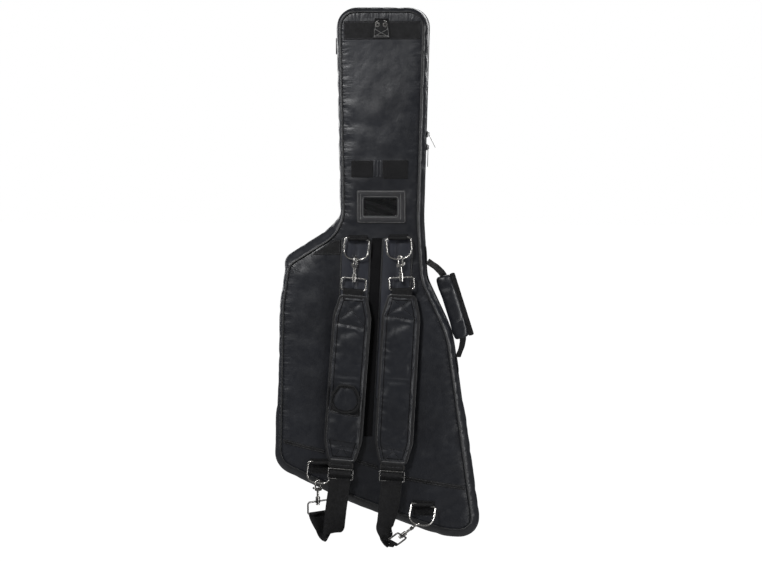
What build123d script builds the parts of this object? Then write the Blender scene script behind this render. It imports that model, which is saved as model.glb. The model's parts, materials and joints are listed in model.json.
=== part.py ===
from build123d import *
import math
import os

os.makedirs("parts", exist_ok=True)

# A padded gig bag for an offset-body electric guitar, standing upright.
# +X is to the right seen from behind, -Y points out of the back (strap) side, +Z is up.
# The model is drawn with Z = 0 at the lowest seam of the bag and Y = 0 at half its depth.
# It is exported with its origin between the two hanger eyelets, where the bag hangs.

# ---- driving dimensions, mm ----
DEPTH = 92.0  # back panel to front panel
BULGE = 10.0  # how far the side wall stands out past the panel seams
SKIN = 2.0  # outer cloth with its laminate
PANEL_FOAM = 10.0
WALL_FOAM = 5.0
LINING = 1.5
ZIP_Y = 20.0  # plane of the main zip
GAP = 0.2  # clearance between pieces that are sewn or laid together
FOAM_GAP = 0.6  # slack between the side wall foam and its cloth and lining
WEB = 50.0  # strap webbing width
WEB_T = 1.8  # webbing thickness
WIRE = 2.0  # radius of ring wire
PAD_T = 14.0  # shoulder pad thickness
PIPING_R = 2.2
BACK_Y = -DEPTH / 2
FRONT_Y = DEPTH / 2
HANG_Z = 1138.0  # height of the hanger eyelets
EYELET_PITCH = 17.0
EYELET_R = 2.4
TAB_Y = BACK_Y - GAP - WEB_T - GAP - WEB_T  # outer face of the hanger tab
RING_Y = -61.0  # plane of the upper rings and the straps
LOW_RING_Y = -58.0  # plane in which the lower rings are sewn
ORIGIN = (0.0, TAB_Y - 1.0, HANG_Z)

# Corner points (X, Z, radius) of the panel seam, counter-clockwise seen from behind.
OUTLINE = [
    (-92.0, 1166.5, 32.0),
    (-83.5, 680.0, 90.0),
    (-208.0, 602.0, 26.0),
    (-222.0, 510.0, 150.0),
    (-229.5, 156.0, 34.0),
    (-73.0, 82.0, 400.0),
    (92.0, 22.0, 300.0),
    (146.0, 6.0, 90.0),
    (207.5, 4.5, 26.0),
    (147.0, 446.0, 220.0),
    (89.0, 568.0, 90.0),
    (80.5, 705.0, 400.0),
    (93.5, 1166.5, 32.0),
]
POCKET = [
    (-150.0, 560.0, 30.0),
    (-205.0, 500.0, 60.0),
    (-212.0, 176.0, 26.0),
    (-60.0, 104.0, 300.0),
    (165.0, 30.0, 30.0),
    (140.0, 400.0, 120.0),
    (72.0, 560.0, 40.0),
]

# The lid turns about a straight line that touches the lowest edge of the side wall.
HINGE_LEAN = 21.0  # degrees the bottom edge falls to the right
HINGE_CLEARANCE = 0.4  # the hinge line runs this far under the side wall
SLIDER_Z = (895.0, 866.0)  # where the two main zip sliders meet
NECK_LEAN = 1.6  # degrees the right side of the neck leans outward

# ---- outlines ----


def unit(a, b):
    length = math.dist(a, b)
    return ((b[0] - a[0]) / length, (b[1] - a[1]) / length)


def grown_corners(corners, grow):
    """The same outline moved outward by `grow`: shifted sides, with each radius changed to suit."""
    result = []
    count = len(corners)
    for i, (x, z, r) in enumerate(corners):
        before = unit(corners[i - 1][:2], (x, z))
        after = unit((x, z), corners[(i + 1) % count][:2])
        cross = before[0] * after[1] - before[1] * after[0]
        dot = before[0] * after[0] + before[1] * after[1]
        half = math.tan(math.atan2(cross, dot) / 2)
        nx = before[1] + before[0] * half
        nz = -before[0] + before[1] * half
        result.append((x + nx * grow, z + nz * grow, r + math.copysign(grow, cross)))
    return result


def outline_wire(corners, y=0.0, grow=0.0):
    """A closed wire of straight sides joined by tangent arcs, in a plane of constant Y."""
    corners = grown_corners(corners, grow)
    count = len(corners)
    arcs = []
    for i, (x, z, r) in enumerate(corners):
        before = unit(corners[i - 1][:2], (x, z))
        after = unit((x, z), corners[(i + 1) % count][:2])
        cross = before[0] * after[1] - before[1] * after[0]
        dot = before[0] * after[0] + before[1] * after[1]
        turn = math.atan2(cross, dot)
        reach = r * abs(math.tan(turn / 2))
        start = (x - before[0] * reach, z - before[1] * reach)
        end = (x + after[0] * reach, z + after[1] * reach)
        side = math.copysign(r, cross)
        centre = (start[0] - before[1] * side, start[1] + before[0] * side)
        out = unit(centre, (x, z))
        middle = (centre[0] + out[0] * r, centre[1] + out[1] * r)
        arcs.append([Vector(p[0], y, p[1]) for p in (start, middle, end)])
    edges = []
    for i, (start, middle, end) in enumerate(arcs):
        edges.append(ThreePointArc(start, middle, end))
        edges.append(Line(end, arcs[(i + 1) % count][0]))
    return Wire([e for line in edges for e in line.edges()])


def slab(corners, y0, y1, grow=0.0):
    """The outline as a plate from y0 to y1."""
    return Solid.extrude(Face(outline_wire(corners, y0, grow)), Vector(0, y1 - y0, 0))


def block(x0, x1, y0, y1, z0, z1):
    return Pos((x0 + x1) / 2, (y0 + y1) / 2, (z0 + z1) / 2) * Box(x1 - x0, y1 - y0, z1 - z0)


def upright(radius, z0, z1):
    """A cylinder along local Z."""
    return Pos(0, 0, (z0 + z1) / 2) * Cylinder(radius, z1 - z0)


def rod(path, radius):
    """A round wire along a path."""
    wire = Wire(path.edges())
    section = Plane(wire @ 0, z_dir=wire % 0) * Circle(radius)
    return sweep(section, path=wire)


def rounded_rect(width, top, bottom, r_top, r_bottom):
    """Corners of an upright loop centred on X = 0 between two heights."""
    half = width / 2
    return [
        (-half, top, r_top),
        (-half, bottom, r_bottom),
        (half, bottom, r_bottom),
        (half, top, r_top),
    ]


# ---- the padded shell ----


def drafted(corners, y_small, y_full, y_end, small, full):
    """A plate whose edge widens from `small` to `full` growth, then stands straight to y_end."""
    rim = Solid.make_loft(
        [outline_wire(corners, y_small, small), outline_wire(corners, y_full, full)], True
    )
    return rim + slab(corners, y_full, y_end, full)


def cloth_shell(y_panel, y_open):
    """Outer cloth of one half: a panel with its standing side wall, open at the zip plane."""
    inward = 1 if y_open > y_panel else -1
    y_inner = y_panel + inward * SKIN
    outer = drafted(OUTLINE, y_panel, y_panel + inward * BULGE, y_open, 0, BULGE)
    inner = drafted(
        OUTLINE, y_inner, y_inner + inward * BULGE, y_open + inward, -SKIN, BULGE - SKIN
    )
    return outer - inner


def panel_foam(y_panel):
    inward = 1 if y_panel < 0 else -1
    y0 = y_panel + inward * (SKIN + GAP)
    return slab(OUTLINE, y0, y0 + inward * PANEL_FOAM, -3.0)


WALL_ZONES = [
    (-130, 130, 1118, 1200),
    (-130, 0, 905, 1118),
    (0, 130, 905, 1118),
    (-130, 0, 700, 905),
    (0, 130, 700, 905),
    (-260, 0, 596, 700),
    (40, 130, 560, 700),
    (-260, -120, 380, 596),
    (-260, -120, 172, 380),
    (90, 260, 400, 560),
    (90, 260, 210, 400),
    (90, 260, 34, 210),
    (-260, -75, -20, 172),
    (-75, 95, -20, 140),
    (95, 260, -20, 34),
]


def wall_foam(y0, y1):
    """Side wall foam, cut as strips that butt at the corners."""
    outside = BULGE - SKIN - FOAM_GAP
    ring = slab(OUTLINE, y0, y1, outside) - slab(OUTLINE, y0 - 1, y1 + 1, outside - WALL_FOAM)
    strips = []
    for x0, x1, z0, z1 in WALL_ZONES:
        strips.append(ring & block(x0 + GAP, x1 - GAP, y0 - 2, y1 + 2, z0 + GAP, z1 - GAP))
    return strips


def lining_tray(y_panel, y_open):
    inward = 1 if y_open > y_panel else -1
    outside = BULGE - SKIN - WALL_FOAM - 2 * FOAM_GAP
    y0 = y_panel + inward * (SKIN + PANEL_FOAM + 2 * GAP)
    outer = slab(OUTLINE, y0, y_open, outside)
    inner = slab(OUTLINE, y0 + inward * LINING, y_open + inward, outside - LINING)
    return outer - inner


def hinge_place():
    """Local X along the hinge line, local Z up into the bag; the line just clears the side wall."""
    down = math.radians(HINGE_LEAN)
    up = (math.sin(down), math.cos(down))
    corners = grown_corners(OUTLINE, BULGE)
    lowest = min(centre_height(corners, i, up) for i in range(len(corners))) - HINGE_CLEARANCE
    return Pos(up[0] * lowest, 0, up[1] * lowest) * Rot(Y=HINGE_LEAN)


def centre_height(corners, i, up):
    """Lowest reach of a convex corner's arc in the `up` direction."""
    x, z, r = corners[i]
    before = unit(corners[i - 1][:2], (x, z))
    after = unit((x, z), corners[(i + 1) % len(corners)][:2])
    cross = before[0] * after[1] - before[1] * after[0]
    if cross <= 0:
        return math.inf
    half = math.tan(math.atan2(cross, before[0] * after[0] + before[1] * after[1]) / 2)
    start = (x - before[0] * r * half, z - before[1] * r * half)
    centre = (start[0] - before[1] * r, start[1] + before[0] * r)
    return centre[0] * up[0] + centre[1] * up[1] - r


def above_hinge(shape, height):
    """Keeps what lies more than `height` above the hinge line."""
    return shape & (hinge_place() * block(-900, 900, -200, 200, height, 1800))


def edge_band(y0, y1, inner, outer, height=26.0):
    """A ribbon that follows the side wall, without the stretch at the hinge."""
    ring = slab(OUTLINE, y0, y1, outer) - slab(OUTLINE, y0 - 1, y1 + 1, inner)
    return above_hinge(ring, height)


def piping(y):
    return rod(outline_wire(OUTLINE, y, -1.0), PIPING_R)


def hinge_strip():
    """Cloth flange that joins lid and body under the bottom edge; it stays on the body side."""
    return hinge_place() * block(-110, 110, ZIP_Y - 14, ZIP_Y - 2.0, -1.2, 0.0)


# ---- webbing, patches and trim on the back panel ----


def patch(x0, x1, z0, z1, layer_y, thickness, r=2.0):
    """A flat rounded piece whose inner face lies at layer_y."""
    corners = [(x0, z1, r), (x0, z0, r), (x1, z0, r), (x1, z1, r)]
    return slab(corners, layer_y - thickness, layer_y)


def on_panel(corners, thickness, layer=0.0):
    y1 = BACK_Y - GAP - layer
    return slab(corners, y1 - thickness, y1)


def top_band():
    return patch(-84, 86, 1106, 1146, BACK_Y - GAP, WEB_T)


def hanger_tab():
    """Folded webbing tab with two holes for its eyelets."""
    y1 = BACK_Y - GAP - WEB_T - GAP
    corners = [(-15, 1152, 2), (-20, 1108, 2), (20, 1108, 2), (15, 1152, 2)]
    tab = slab(corners, y1 - WEB_T, y1)
    for side in (-1, 1):
        hole = Pos(side * EYELET_PITCH / 2, y1, HANG_Z) * Rot(X=90) * Cylinder(EYELET_R + 0.8, 10)
        tab = tab - hole
    return tab


def hanger_eyelets():
    """Two metal eyelets rolled over the tab, each a flanged tube."""
    rings = []
    for side in (-1, 1):
        place = Pos(side * EYELET_PITCH / 2, TAB_Y, HANG_Z) * Rot(X=90)
        tube = upright(EYELET_R + 0.7, -1.0, 1.0)
        flange = upright(EYELET_R + 3.0, 0.1, 1.0)
        rings.append(place * (tube + flange - Cylinder(EYELET_R, 12)))
    return rings


def mid_band():
    corners = [(-105, 660, 2), (-159, 626, 2), (-92, 626, 2), (-92, 660, 2)]
    return on_panel(corners, WEB_T)


def seam_band():
    """Dark webbing over the seam between the upper cloth and the lower panel."""
    pieces = [
        [(-223, 207, 1), (-223, 197, 1), (-128, 175, 1), (-128, 185, 1)],
        [(-58, 164, 1), (-58, 154, 1), (-8, 139, 1), (-8, 149, 1)],
        [(53, 126, 1), (53, 116, 1), (188, 96, 1), (188, 106, 1)],
    ]
    return [on_panel(corners, 1.0) for corners in pieces]


def hook_loop_patches():
    return [
        patch(-67.5, -19, 800, 837, BACK_Y - GAP, 1.6),
        patch(3.5, 59.5, 797, 838, BACK_Y - GAP, 1.6),
    ]


def card_frame():
    frame = patch(-55, 55, 697, 771, BACK_Y - GAP, 1.6, 5)
    hole = patch(-39, 35, 714, 754, BACK_Y + 1, 10, 3)
    return frame - hole


def card():
    return patch(-38, 34, 715, 753, BACK_Y - GAP, 0.5, 2)


def card_cover():
    """Clear window film over the card, held inside the frame."""
    return patch(-38.5, 34.5, 714.5, 753.5, BACK_Y - GAP - 0.6, 0.6, 2)


def landing_strip(side):
    """Padded strip on the back panel behind a shoulder strap."""
    if side < 0:
        corners = [(-88, 664, 5), (-104, 300, 5), (-40, 300, 5), (-24, 664, 5)]
    else:
        corners = [(4, 664, 5), (-14, 300, 5), (52, 300, 5), (70, 664, 5)]
    return on_panel(corners, 4.0)


def spine_channel():
    """Dark mesh strip on the panel between the two landing strips."""
    return on_panel([(-21, 664, 2), (-40, 215, 2), (-21, 215, 2), (1, 664, 2)], 1.2)


# ---- rings, hooks and straps ----

D_HEIGHT = 46.0  # bar to the far side of a D-ring, wire centres
D_WIDTH = 55.0
EYE_R = 7.5  # hook eye, to the wire's centre
EYE_WIRE = 2.1
HOOK_DROP = 41.0  # from eye centre to the top bar of the base ring
LOOP_H = 27.0  # base ring height, wire centres
LOOP_W = 55.0
PIN_R = 2.4
COLLAR_R = 5.2
GATE_PIVOT = (6.6, -11.4)  # local X and Z of the gate's cross pin
BORE = 0.15  # clearance round a wire

# place, lean in the panel plane, lean out of the panel and spin of each ring and hook
UP_RING = {-1: (-52.7, 662.8, 7.0), 1: (38.1, 665.0, -6.0)}
UP_HOOK = {-1: (-57.5, 615.5, 4.0, -20.0), 1: (43.2, 618.0, -3.0, 48.0)}
LOW_RING = {-1: (-137.0, 154.8, 8.0, 0.0), 1: (96.0, 62.0, 8.0, -25.0)}
LOW_HOOK_LEAN = {-1: 0.0, 1: 52.0}
LOW_HOOK_SPIN = {-1: -45.0, 1: 0.0}
LOW_HOOK_SLIDE = {-1: 0.0, 1: -8.0}
LOW_LOOP_SPIN = {-1: 42.0, 1: 60.0}


ROLL_R = 4.6
ROLL_W = 44.0


def d_ring():
    """A D-ring hanging from its bar, which lies along X at the local origin."""
    return rod(outline_wire(rounded_rect(D_WIDTH, 0, -D_HEIGHT, 5, 20)), WIRE)


def ring_roll():
    """The rolled end of a webbing tab around a ring's bar."""
    return Rot(Y=90) * (Cylinder(ROLL_R, ROLL_W) - Cylinder(WIRE + BORE, ROLL_W + 2))


def upper_tab(side):
    """Webbing tab that holds an upper D-ring on its landing strip."""
    x, z, lean = UP_RING[side]
    place = Pos(x, RING_Y, z) * Rot(Y=lean)
    plate = block(-ROLL_W / 2, ROLL_W / 2, 2.2, 10.4, -2.2, 2.2)
    roll = ring_roll() + plate
    return place * (roll - Rot(Y=90) * Cylinder(WIRE + BORE, ROLL_W + 2))


def lower_tab(side):
    """Webbing tab sewn to the panel that holds a lower D-ring."""
    x, z, lean, _ = LOW_RING[side]
    place = Pos(x, LOW_RING_Y, z) * Rot(Y=lean)
    plate = block(-ROLL_W / 2, ROLL_W / 2, 2.2, 9.6, -2.2, 2.2)
    flat = block(-WEB / 2, WEB / 2, 9.6, 11.6, -24, 3)
    roll = ring_roll() + plate + flat
    return place * (roll - Rot(Y=90) * Cylinder(WIRE + BORE, ROLL_W + 2))


def hook_body():
    """Snap hook: an open eye on a block, a neck and a headed swivel pin below it."""
    arc = ThreePointArc((-EYE_R, 0, -2), (0, 0, EYE_R), (EYE_R, 0, -1))
    shank = Line((-EYE_R, 0, -11), (-EYE_R, 0, -2))
    eye = rod(Wire(shank.edges() + arc.edges()), EYE_WIRE)
    foot = block(-9.5, 6.5, -3, 3, -17.5, -10.5)
    foot = fillet(foot.edges().filter_by(Axis.Y), 2.5)
    slot = block(GATE_PIVOT[0] - 2.3, GATE_PIVOT[0] + 2.3, -1.7, 1.7, -15.8, -9.2)
    neck = upright(2.8, -31, -17)
    collar = upright(COLLAR_R, -36, -31)
    pin = upright(PIN_R, -48, -35)
    head = upright(4.2, -49.4, -47.4)
    return eye + (foot - slot) + neck + collar + pin + head


def hook_gate():
    """Spring gate with its round thumb knob; it turns on a cross pin in the hook's foot."""
    x, z = GATE_PIVOT
    bar = Pos(x + 0.3, 0, z + 5.4) * Rot(Y=5) * Box(2.4, 3.0, 9.0)
    knob = Pos(x + 4.0, 0, z + 1.8) * Rot(Y=90) * Cylinder(2.6, 5.0)
    boss = Pos(x, 0, z) * Box(3.0, 2.8, 3.0)
    return bar + knob + boss


def base_ring():
    """Rectangular ring with a bored boss that turns on the hook's swivel pin."""
    loop = rod(outline_wire(rounded_rect(LOOP_W, -HOOK_DROP, -HOOK_DROP - LOOP_H, 5, 5)), WIRE)
    boss = upright(COLLAR_R, -HOOK_DROP - 4.4, -HOOK_DROP + 4.4)
    return loop + boss - upright(PIN_R + 0.05, -HOOK_DROP - 15, -HOOK_DROP + 15)


def upper_hook_place(side):
    x, z, lean, _ = UP_HOOK[side]
    return Pos(x, RING_Y, z) * Rot(Y=lean)


def lower_hook_place(side):
    x, z, lean, out = LOW_RING[side]
    hang = Pos(LOW_HOOK_SLIDE[side], 0, -D_HEIGHT)
    ring_end = Pos(x, LOW_RING_Y, z) * Rot(Y=lean) * Rot(X=out) * hang
    p = ring_end.position
    return Pos(p.X, p.Y, p.Z) * Rot(Y=LOW_HOOK_LEAN[side]) * Pos(0, 0, -1.0)


# Straps hang from the base rings: top centre of the pad, lean and length.
STRAP = {-1: (-61.5, 533.0, 4.3, 372.0), 1: (47.6, 535.0, 3.2, 377.0)}
PAD_W = 79.0
TAPER = 46.0
GLIDE_H = 23.0
GLIDE_DROP = 31.0  # pad end to the tri-glide's centre


def strap_place(side):
    x, z, lean, _ = STRAP[side]
    return Pos(x, RING_Y, z) * Rot(Y=lean)


def pad_corners(length, inset=0.0):
    half = PAD_W / 2 - inset
    end = WEB / 2 + 3 - inset
    return [
        (-end, -inset, 3),
        (-half, -TAPER, 12),
        (-half, -length + TAPER, 12),
        (-end, -length + inset, 3),
        (end, -length + inset, 3),
        (half, -length + TAPER, 12),
        (half, -TAPER, 12),
        (end, -inset, 3),
    ]


def pad(side):
    length = STRAP[side][3]
    return strap_place(side) * slab(pad_corners(length), -PAD_T / 2, PAD_T / 2)


def top_loop(side):
    """Webbing end that rolls around the lower bar of the upper base ring."""
    x, z, lean, _ = UP_HOOK[side]
    place = Pos(x, RING_Y, z) * Rot(Y=lean) * Pos(0, 0, -HOOK_DROP - LOOP_H)
    return place * ring_roll()


def tri_glide():
    """Sliding adjuster: a wide ring with a middle bar."""
    half = GLIDE_H / 2
    frame = rod(outline_wire(rounded_rect(WEB + 6, half, -half, 3, 3)), 1.7)
    bar = Rot(Y=90) * Cylinder(1.7, WEB + 6)
    return frame + bar


def end_loop():
    """Flat metal loop between the pad's end and its tri-glide."""
    outer = slab(rounded_rect(WEB + 6, 4, -8, 3, 3), -0.9, 0.9)
    inner = slab(rounded_rect(WEB - 2, 1.4, -5.4, 1, 1), -2, 2)
    return outer - inner


def glide_place(side):
    length = STRAP[side][3]
    return strap_place(side) * Pos(0, -4.6, -length - GLIDE_DROP)


def front_tail(side):
    """Upper part of the adjusting webbing, below the tri-glide."""
    y0 = -WEB_T / 2
    tail = slab(rounded_rect(WEB - 1, -16, -40, 0.5, 0.5), y0 - 4.5, y0 + WEB_T - 4.5)
    return glide_place(side) * tail


FLAP = [
    (-17, 0, 5),
    (-33, -30, 14),
    (-22, -62, 9),
    (22, -62, 9),
    (33, -30, 14),
    (17, 0, 5),
]
FLAP_DROP = 196.0


def pad_flap():
    """Keystone-shaped flap on the left pad, hinged along its top edge over the small pocket."""
    y0 = -PAD_T / 2 - 4.0
    return strap_place(-1) * Pos(0, 0, -FLAP_DROP) * slab(FLAP, y0, y0 + 2.2)


def pad_pocket():
    """Small flat pocket on the left pad."""
    half = PAD_W / 2 - 5.6
    y0 = -PAD_T / 2 - 1.6
    corners = [(-half, -262, 3), (-half, -326, 3), (half, -326, 3), (half, -262, 3)]
    return strap_place(-1) * slab(corners, y0, y0 + 1.4)


# ---- zips ----


def on_neck_side(z, out):
    """A point on the right side of the neck, `out` from the panel seam, in the zip plane."""
    top = OUTLINE[-1]
    low = OUTLINE[-2]
    share = (z - low[1]) / (top[1] - low[1])
    x = low[0] + (top[0] - low[0]) * share
    return Pos(x + out, ZIP_Y + 0.5, z) * Rot(Y=NECK_LEAN)


def slider_body():
    """Zip slider: two plates on a wedge with a bridge for its pull, local +X outward."""
    plate = block(0, 2.0, -5.0, 5.0, -7.0, 7.0)
    plate = fillet(plate.edges().filter_by(Axis.X), 2.5)
    bridge = block(2.0, 5.6, -1.2, 1.2, -4.5, 4.5) - block(2.0, 4.4, -3, 3, -3.0, 3.0)
    return plate + bridge


def pull_tab(length, width):
    """Flat pull that hangs from the slider's bridge, with an eye at its top."""
    tab = block(3.0, 4.2, -width / 2, width / 2, -length, -4.9)
    tab = fillet(tab.edges().filter_by(Axis.X), width / 3)
    eye = block(2.6, 4.0, -1.9, -1.4, -6, 1.6) + block(2.6, 4.0, 1.4, 1.9, -6, 1.6)
    top = block(2.6, 3.8, -1.9, 1.9, 0.9, 1.9)
    return tab + eye + top


def leaned_pull(length, width, lean):
    """A pull that rests turned outward about the bar under the slider's bridge."""
    bar = Pos(3.2, 0, 1.4)
    return bar * Rot(Y=-lean) * bar.inverse() * pull_tab(length, width)


# ---- front pocket, on the lid ----

POCKET_DEPTH = 26.0
POCKET_ZIP = (-196.0, 215.0, 470.0)  # X and the two heights of its straight zip


def pocket_shell():
    """The pocket's cloth: a shallow open box sewn to the lid's front, drawn in round its face."""
    y0 = FRONT_Y + GAP
    y1 = y0 + POCKET_DEPTH
    taper = 7.0
    rim = Solid.make_loft(
        [outline_wire(POCKET, y1 - taper), outline_wire(POCKET, y1, -taper)], True
    )
    outer = slab(POCKET, y0, y1 - taper) + rim
    return outer - slab(POCKET, y0 - 1, y1 - SKIN, -taper - 1)


def pocket_zip():
    """Zip on the pocket's front, a straight tape with its coil."""
    x, z0, z1 = POCKET_ZIP
    y0 = FRONT_Y + GAP + POCKET_DEPTH + GAP
    tape = block(x - 8, x + 8, y0, y0 + 0.8, z0, z1)
    coil = block(x - 2.2, x + 2.2, y0 + 0.8, y0 + 2.0, z0 + 4, z1 - 4)
    return tape + coil




def pocket_slider_place(z):
    return Pos(POCKET_ZIP[0], FRONT_Y + POCKET_DEPTH + 2 * GAP + 2.2, z) * Rot(Z=90)


# ---- side handle ----

HANDLE_TOP = (106.0, 614.0)
HANDLE_END = (177.0, 392.0)
HANDLE_Y = -6.0
HANDLE_RUN = (HANDLE_END[0] - HANDLE_TOP[0], HANDLE_TOP[1] - HANDLE_END[1])
HANDLE_LEAN = -math.degrees(math.atan2(*HANDLE_RUN))
HANDLE_LENGTH = math.hypot(*HANDLE_RUN)
HANDLE_BOW = 20.0
GRIP_LENGTH = 132.0
GRIP_W = 36.0


def handle_place():
    """Local +Z runs up the handle from its lower end, local +X points away from the bag."""
    return Pos(HANDLE_END[0], HANDLE_Y, HANDLE_END[1]) * Rot(Y=HANDLE_LEAN)


def handle_webbing():
    """Webbing strap of the handle, bowed outward between its two ends."""
    heights = [8, 46, HANDLE_LENGTH / 2, HANDLE_LENGTH - 46, HANDLE_LENGTH - 8]
    reaches = [4, HANDLE_BOW, HANDLE_BOW + 2, HANDLE_BOW, 4]
    line = Spline([(x, 0, z) for x, z in zip(reaches, heights)])
    section = Plane(line @ 0, x_dir=(0, 1, 0), z_dir=line % 0) * Rectangle(30, 2.4)
    return handle_place() * sweep(section, path=line)


def handle_grip():
    """Padded wrap around the handle's webbing, closed on itself with hook and loop."""
    low = (HANDLE_LENGTH - GRIP_LENGTH) / 2
    high = low + GRIP_LENGTH
    corners = [(5, high, 8), (5, low, 8), (44, low, 10), (44, high, 10)]
    wrap = slab(corners, -GRIP_W / 2, GRIP_W / 2)
    wrap = fillet(wrap.edges().filter_by(Axis.Z), 6)
    core = block(HANDLE_BOW - 4, HANDLE_BOW + 5.5, -15.6, 15.6, low - 10, high + 10)
    return handle_place() * (wrap - core)


def handle_anchors():
    """Webbing patches that hold the handle's ends in the side wall."""
    upper = Pos(HANDLE_TOP[0], HANDLE_Y, HANDLE_TOP[1]) * Rot(Y=-3.5)
    lower = Pos(HANDLE_END[0], HANDLE_Y, HANDLE_END[1]) * Rot(Y=-7.8)
    return [
        upper * block(-8.8, -7.2, -15, 15, -8, 30),
        lower * block(-11.4, -9.8, -15, 15, -34, 4),
    ]


# ---- inside ----

NECK_REST_Z = 810.0


def neck_rest():
    """Foam block that cradles the guitar's neck, glued inside the back."""
    cradle = Pos(0, 4, NECK_REST_Z) * Cylinder(32, 200)
    return block(-62, 62, -31.5, -6, NECK_REST_Z - 40, NECK_REST_Z + 40) - cradle


def neck_strap():
    """Hook-and-loop strap across the neck rest."""
    z0 = NECK_REST_Z - 14
    z1 = NECK_REST_Z + 14
    strap = block(-60, 60, 2, 4, z0, z1)
    for x in (-60, 57):
        strap = strap + block(x, x + 3, -5.6, 2, z0, z1)
    return strap


def side_tab():
    """Small webbing grab tab near the top of the left side wall."""
    return block(-106, -101.8, -14, 4, 1074, 1110)


# ---- all the pieces ----


def parts():
    result = {
        "body_cloth": cloth_shell(BACK_Y, ZIP_Y),
        "body_panel_foam": panel_foam(BACK_Y),
        "body_wall_foam": wall_foam(-33.6, ZIP_Y - 0.3),
        "body_lining": lining_tray(BACK_Y, ZIP_Y - 0.3),
        "body_piping": piping(BACK_Y - PIPING_R - GAP),
        "lid_cloth": cloth_shell(FRONT_Y, ZIP_Y + 1.0),
        "lid_panel_foam": panel_foam(FRONT_Y),
        "lid_wall_foam": wall_foam(ZIP_Y + 1.3, 33.6),
        "lid_lining": lining_tray(FRONT_Y, ZIP_Y + 1.3),
        "lid_piping": piping(FRONT_Y + PIPING_R + GAP),
        "main_zip_body_side": edge_band(ZIP_Y - 9, ZIP_Y, BULGE + 0.1, BULGE + 1.5),
        "main_zip_lid_side": edge_band(ZIP_Y + 1, ZIP_Y + 10, BULGE + 0.1, BULGE + 1.5),
        "hinge_strip": hinge_strip(),
        "front_pocket": pocket_shell(),
        "front_pocket_zip": pocket_zip(),
        "hanger_tab": hanger_tab(),
        "hanger_eyelets": hanger_eyelets(),
        "webbing_trim": [top_band(), mid_band(), *seam_band(), side_tab()],
        "hook_loop_patches": hook_loop_patches(),
        "card_frame": card_frame(),
        "card": card(),
        "card_cover": card_cover(),
        "neck_rest": neck_rest(),
        "neck_strap": neck_strap(),
        "handle_webbing": handle_webbing(),
        "handle_grip": handle_grip(),
        "handle_anchors": handle_anchors(),
        "pad_flap": pad_flap(),
        "pad_pocket": pad_pocket(),
        "landing_strips": [landing_strip(-1), landing_strip(1)],
        "spine_channel": spine_channel(),
        "ring_tabs": [upper_tab(-1), upper_tab(1), lower_tab(-1), lower_tab(1)],
    }
    for side, name in ((-1, "left"), (1, "right")):
        result.update(strap_parts(side, name))
    result.update(slider_parts())
    return result


def strap_parts(side, name):
    """One shoulder strap with its rings and hooks."""
    ring_x, ring_z, ring_lean = UP_RING[side]
    low_x, low_z, low_lean, out = LOW_RING[side]
    spin = Rot(Z=UP_HOOK[side][3])
    low_spin = Rot(Z=LOW_HOOK_SPIN[side])
    edge_on = Rot(Z=-90)
    upper = upper_hook_place(side)
    lower = lower_hook_place(side)
    loop_place = lower * Rot(Z=LOW_LOOP_SPIN[side])
    end_place = strap_place(side) * Pos(0, -3, -STRAP[side][3] - 8)
    return {
        f"{name}_upper_ring": Pos(ring_x, RING_Y, ring_z) * Rot(Y=ring_lean) * d_ring(),
        f"{name}_lower_ring": Pos(low_x, LOW_RING_Y, low_z) * Rot(Y=low_lean) * Rot(X=out) * d_ring(),
        f"{name}_upper_hook": upper * spin * edge_on * hook_body(),
        f"{name}_upper_gate": upper * spin * edge_on * hook_gate(),
        f"{name}_upper_base_ring": upper * base_ring(),
        f"{name}_lower_hook": lower * low_spin * edge_on * hook_body(),
        f"{name}_lower_gate": lower * low_spin * edge_on * hook_gate(),
        f"{name}_lower_base_ring": loop_place * base_ring(),
        f"{name}_pad": pad(side),
        f"{name}_adjuster": [glide_place(side) * tri_glide(), end_place * end_loop()],
        f"{name}_webbing": [top_loop(side), front_tail(side)],
    }


def slider_parts():
    out = BULGE + 1.8
    upper = on_neck_side(SLIDER_Z[0], out)
    lower = on_neck_side(SLIDER_Z[1], out)
    front = pocket_slider_place(240.0)
    return {
        "upper_zip_slider": upper * slider_body(),
        "upper_zip_pull": upper * leaned_pull(34.0, 8.0, 28.0),
        "lower_zip_slider": lower * slider_body(),
        "lower_zip_pull": lower * pull_tab(44.0, 7.0),
        "front_pocket_slider": front * slider_body(),
        "front_pocket_pull": front * pull_tab(30.0, 7.0),
    }


def export_all():
    shift = Location((-ORIGIN[0], -ORIGIN[1], -ORIGIN[2]))
    for node, shape in parts().items():
        solids = []
        for item in shape if isinstance(shape, list) else [shape]:
            solids.extend(item.solids())
        placed = solids[0] if len(solids) == 1 else Compound(children=solids)
        export_step(placed.moved(shift), f"parts/{node}.step")


export_all()
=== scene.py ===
import json
import math

import bmesh
import bpy
import numpy as np
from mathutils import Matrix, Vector, geometry
from mathutils.bvhtree import BVHTree


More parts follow.
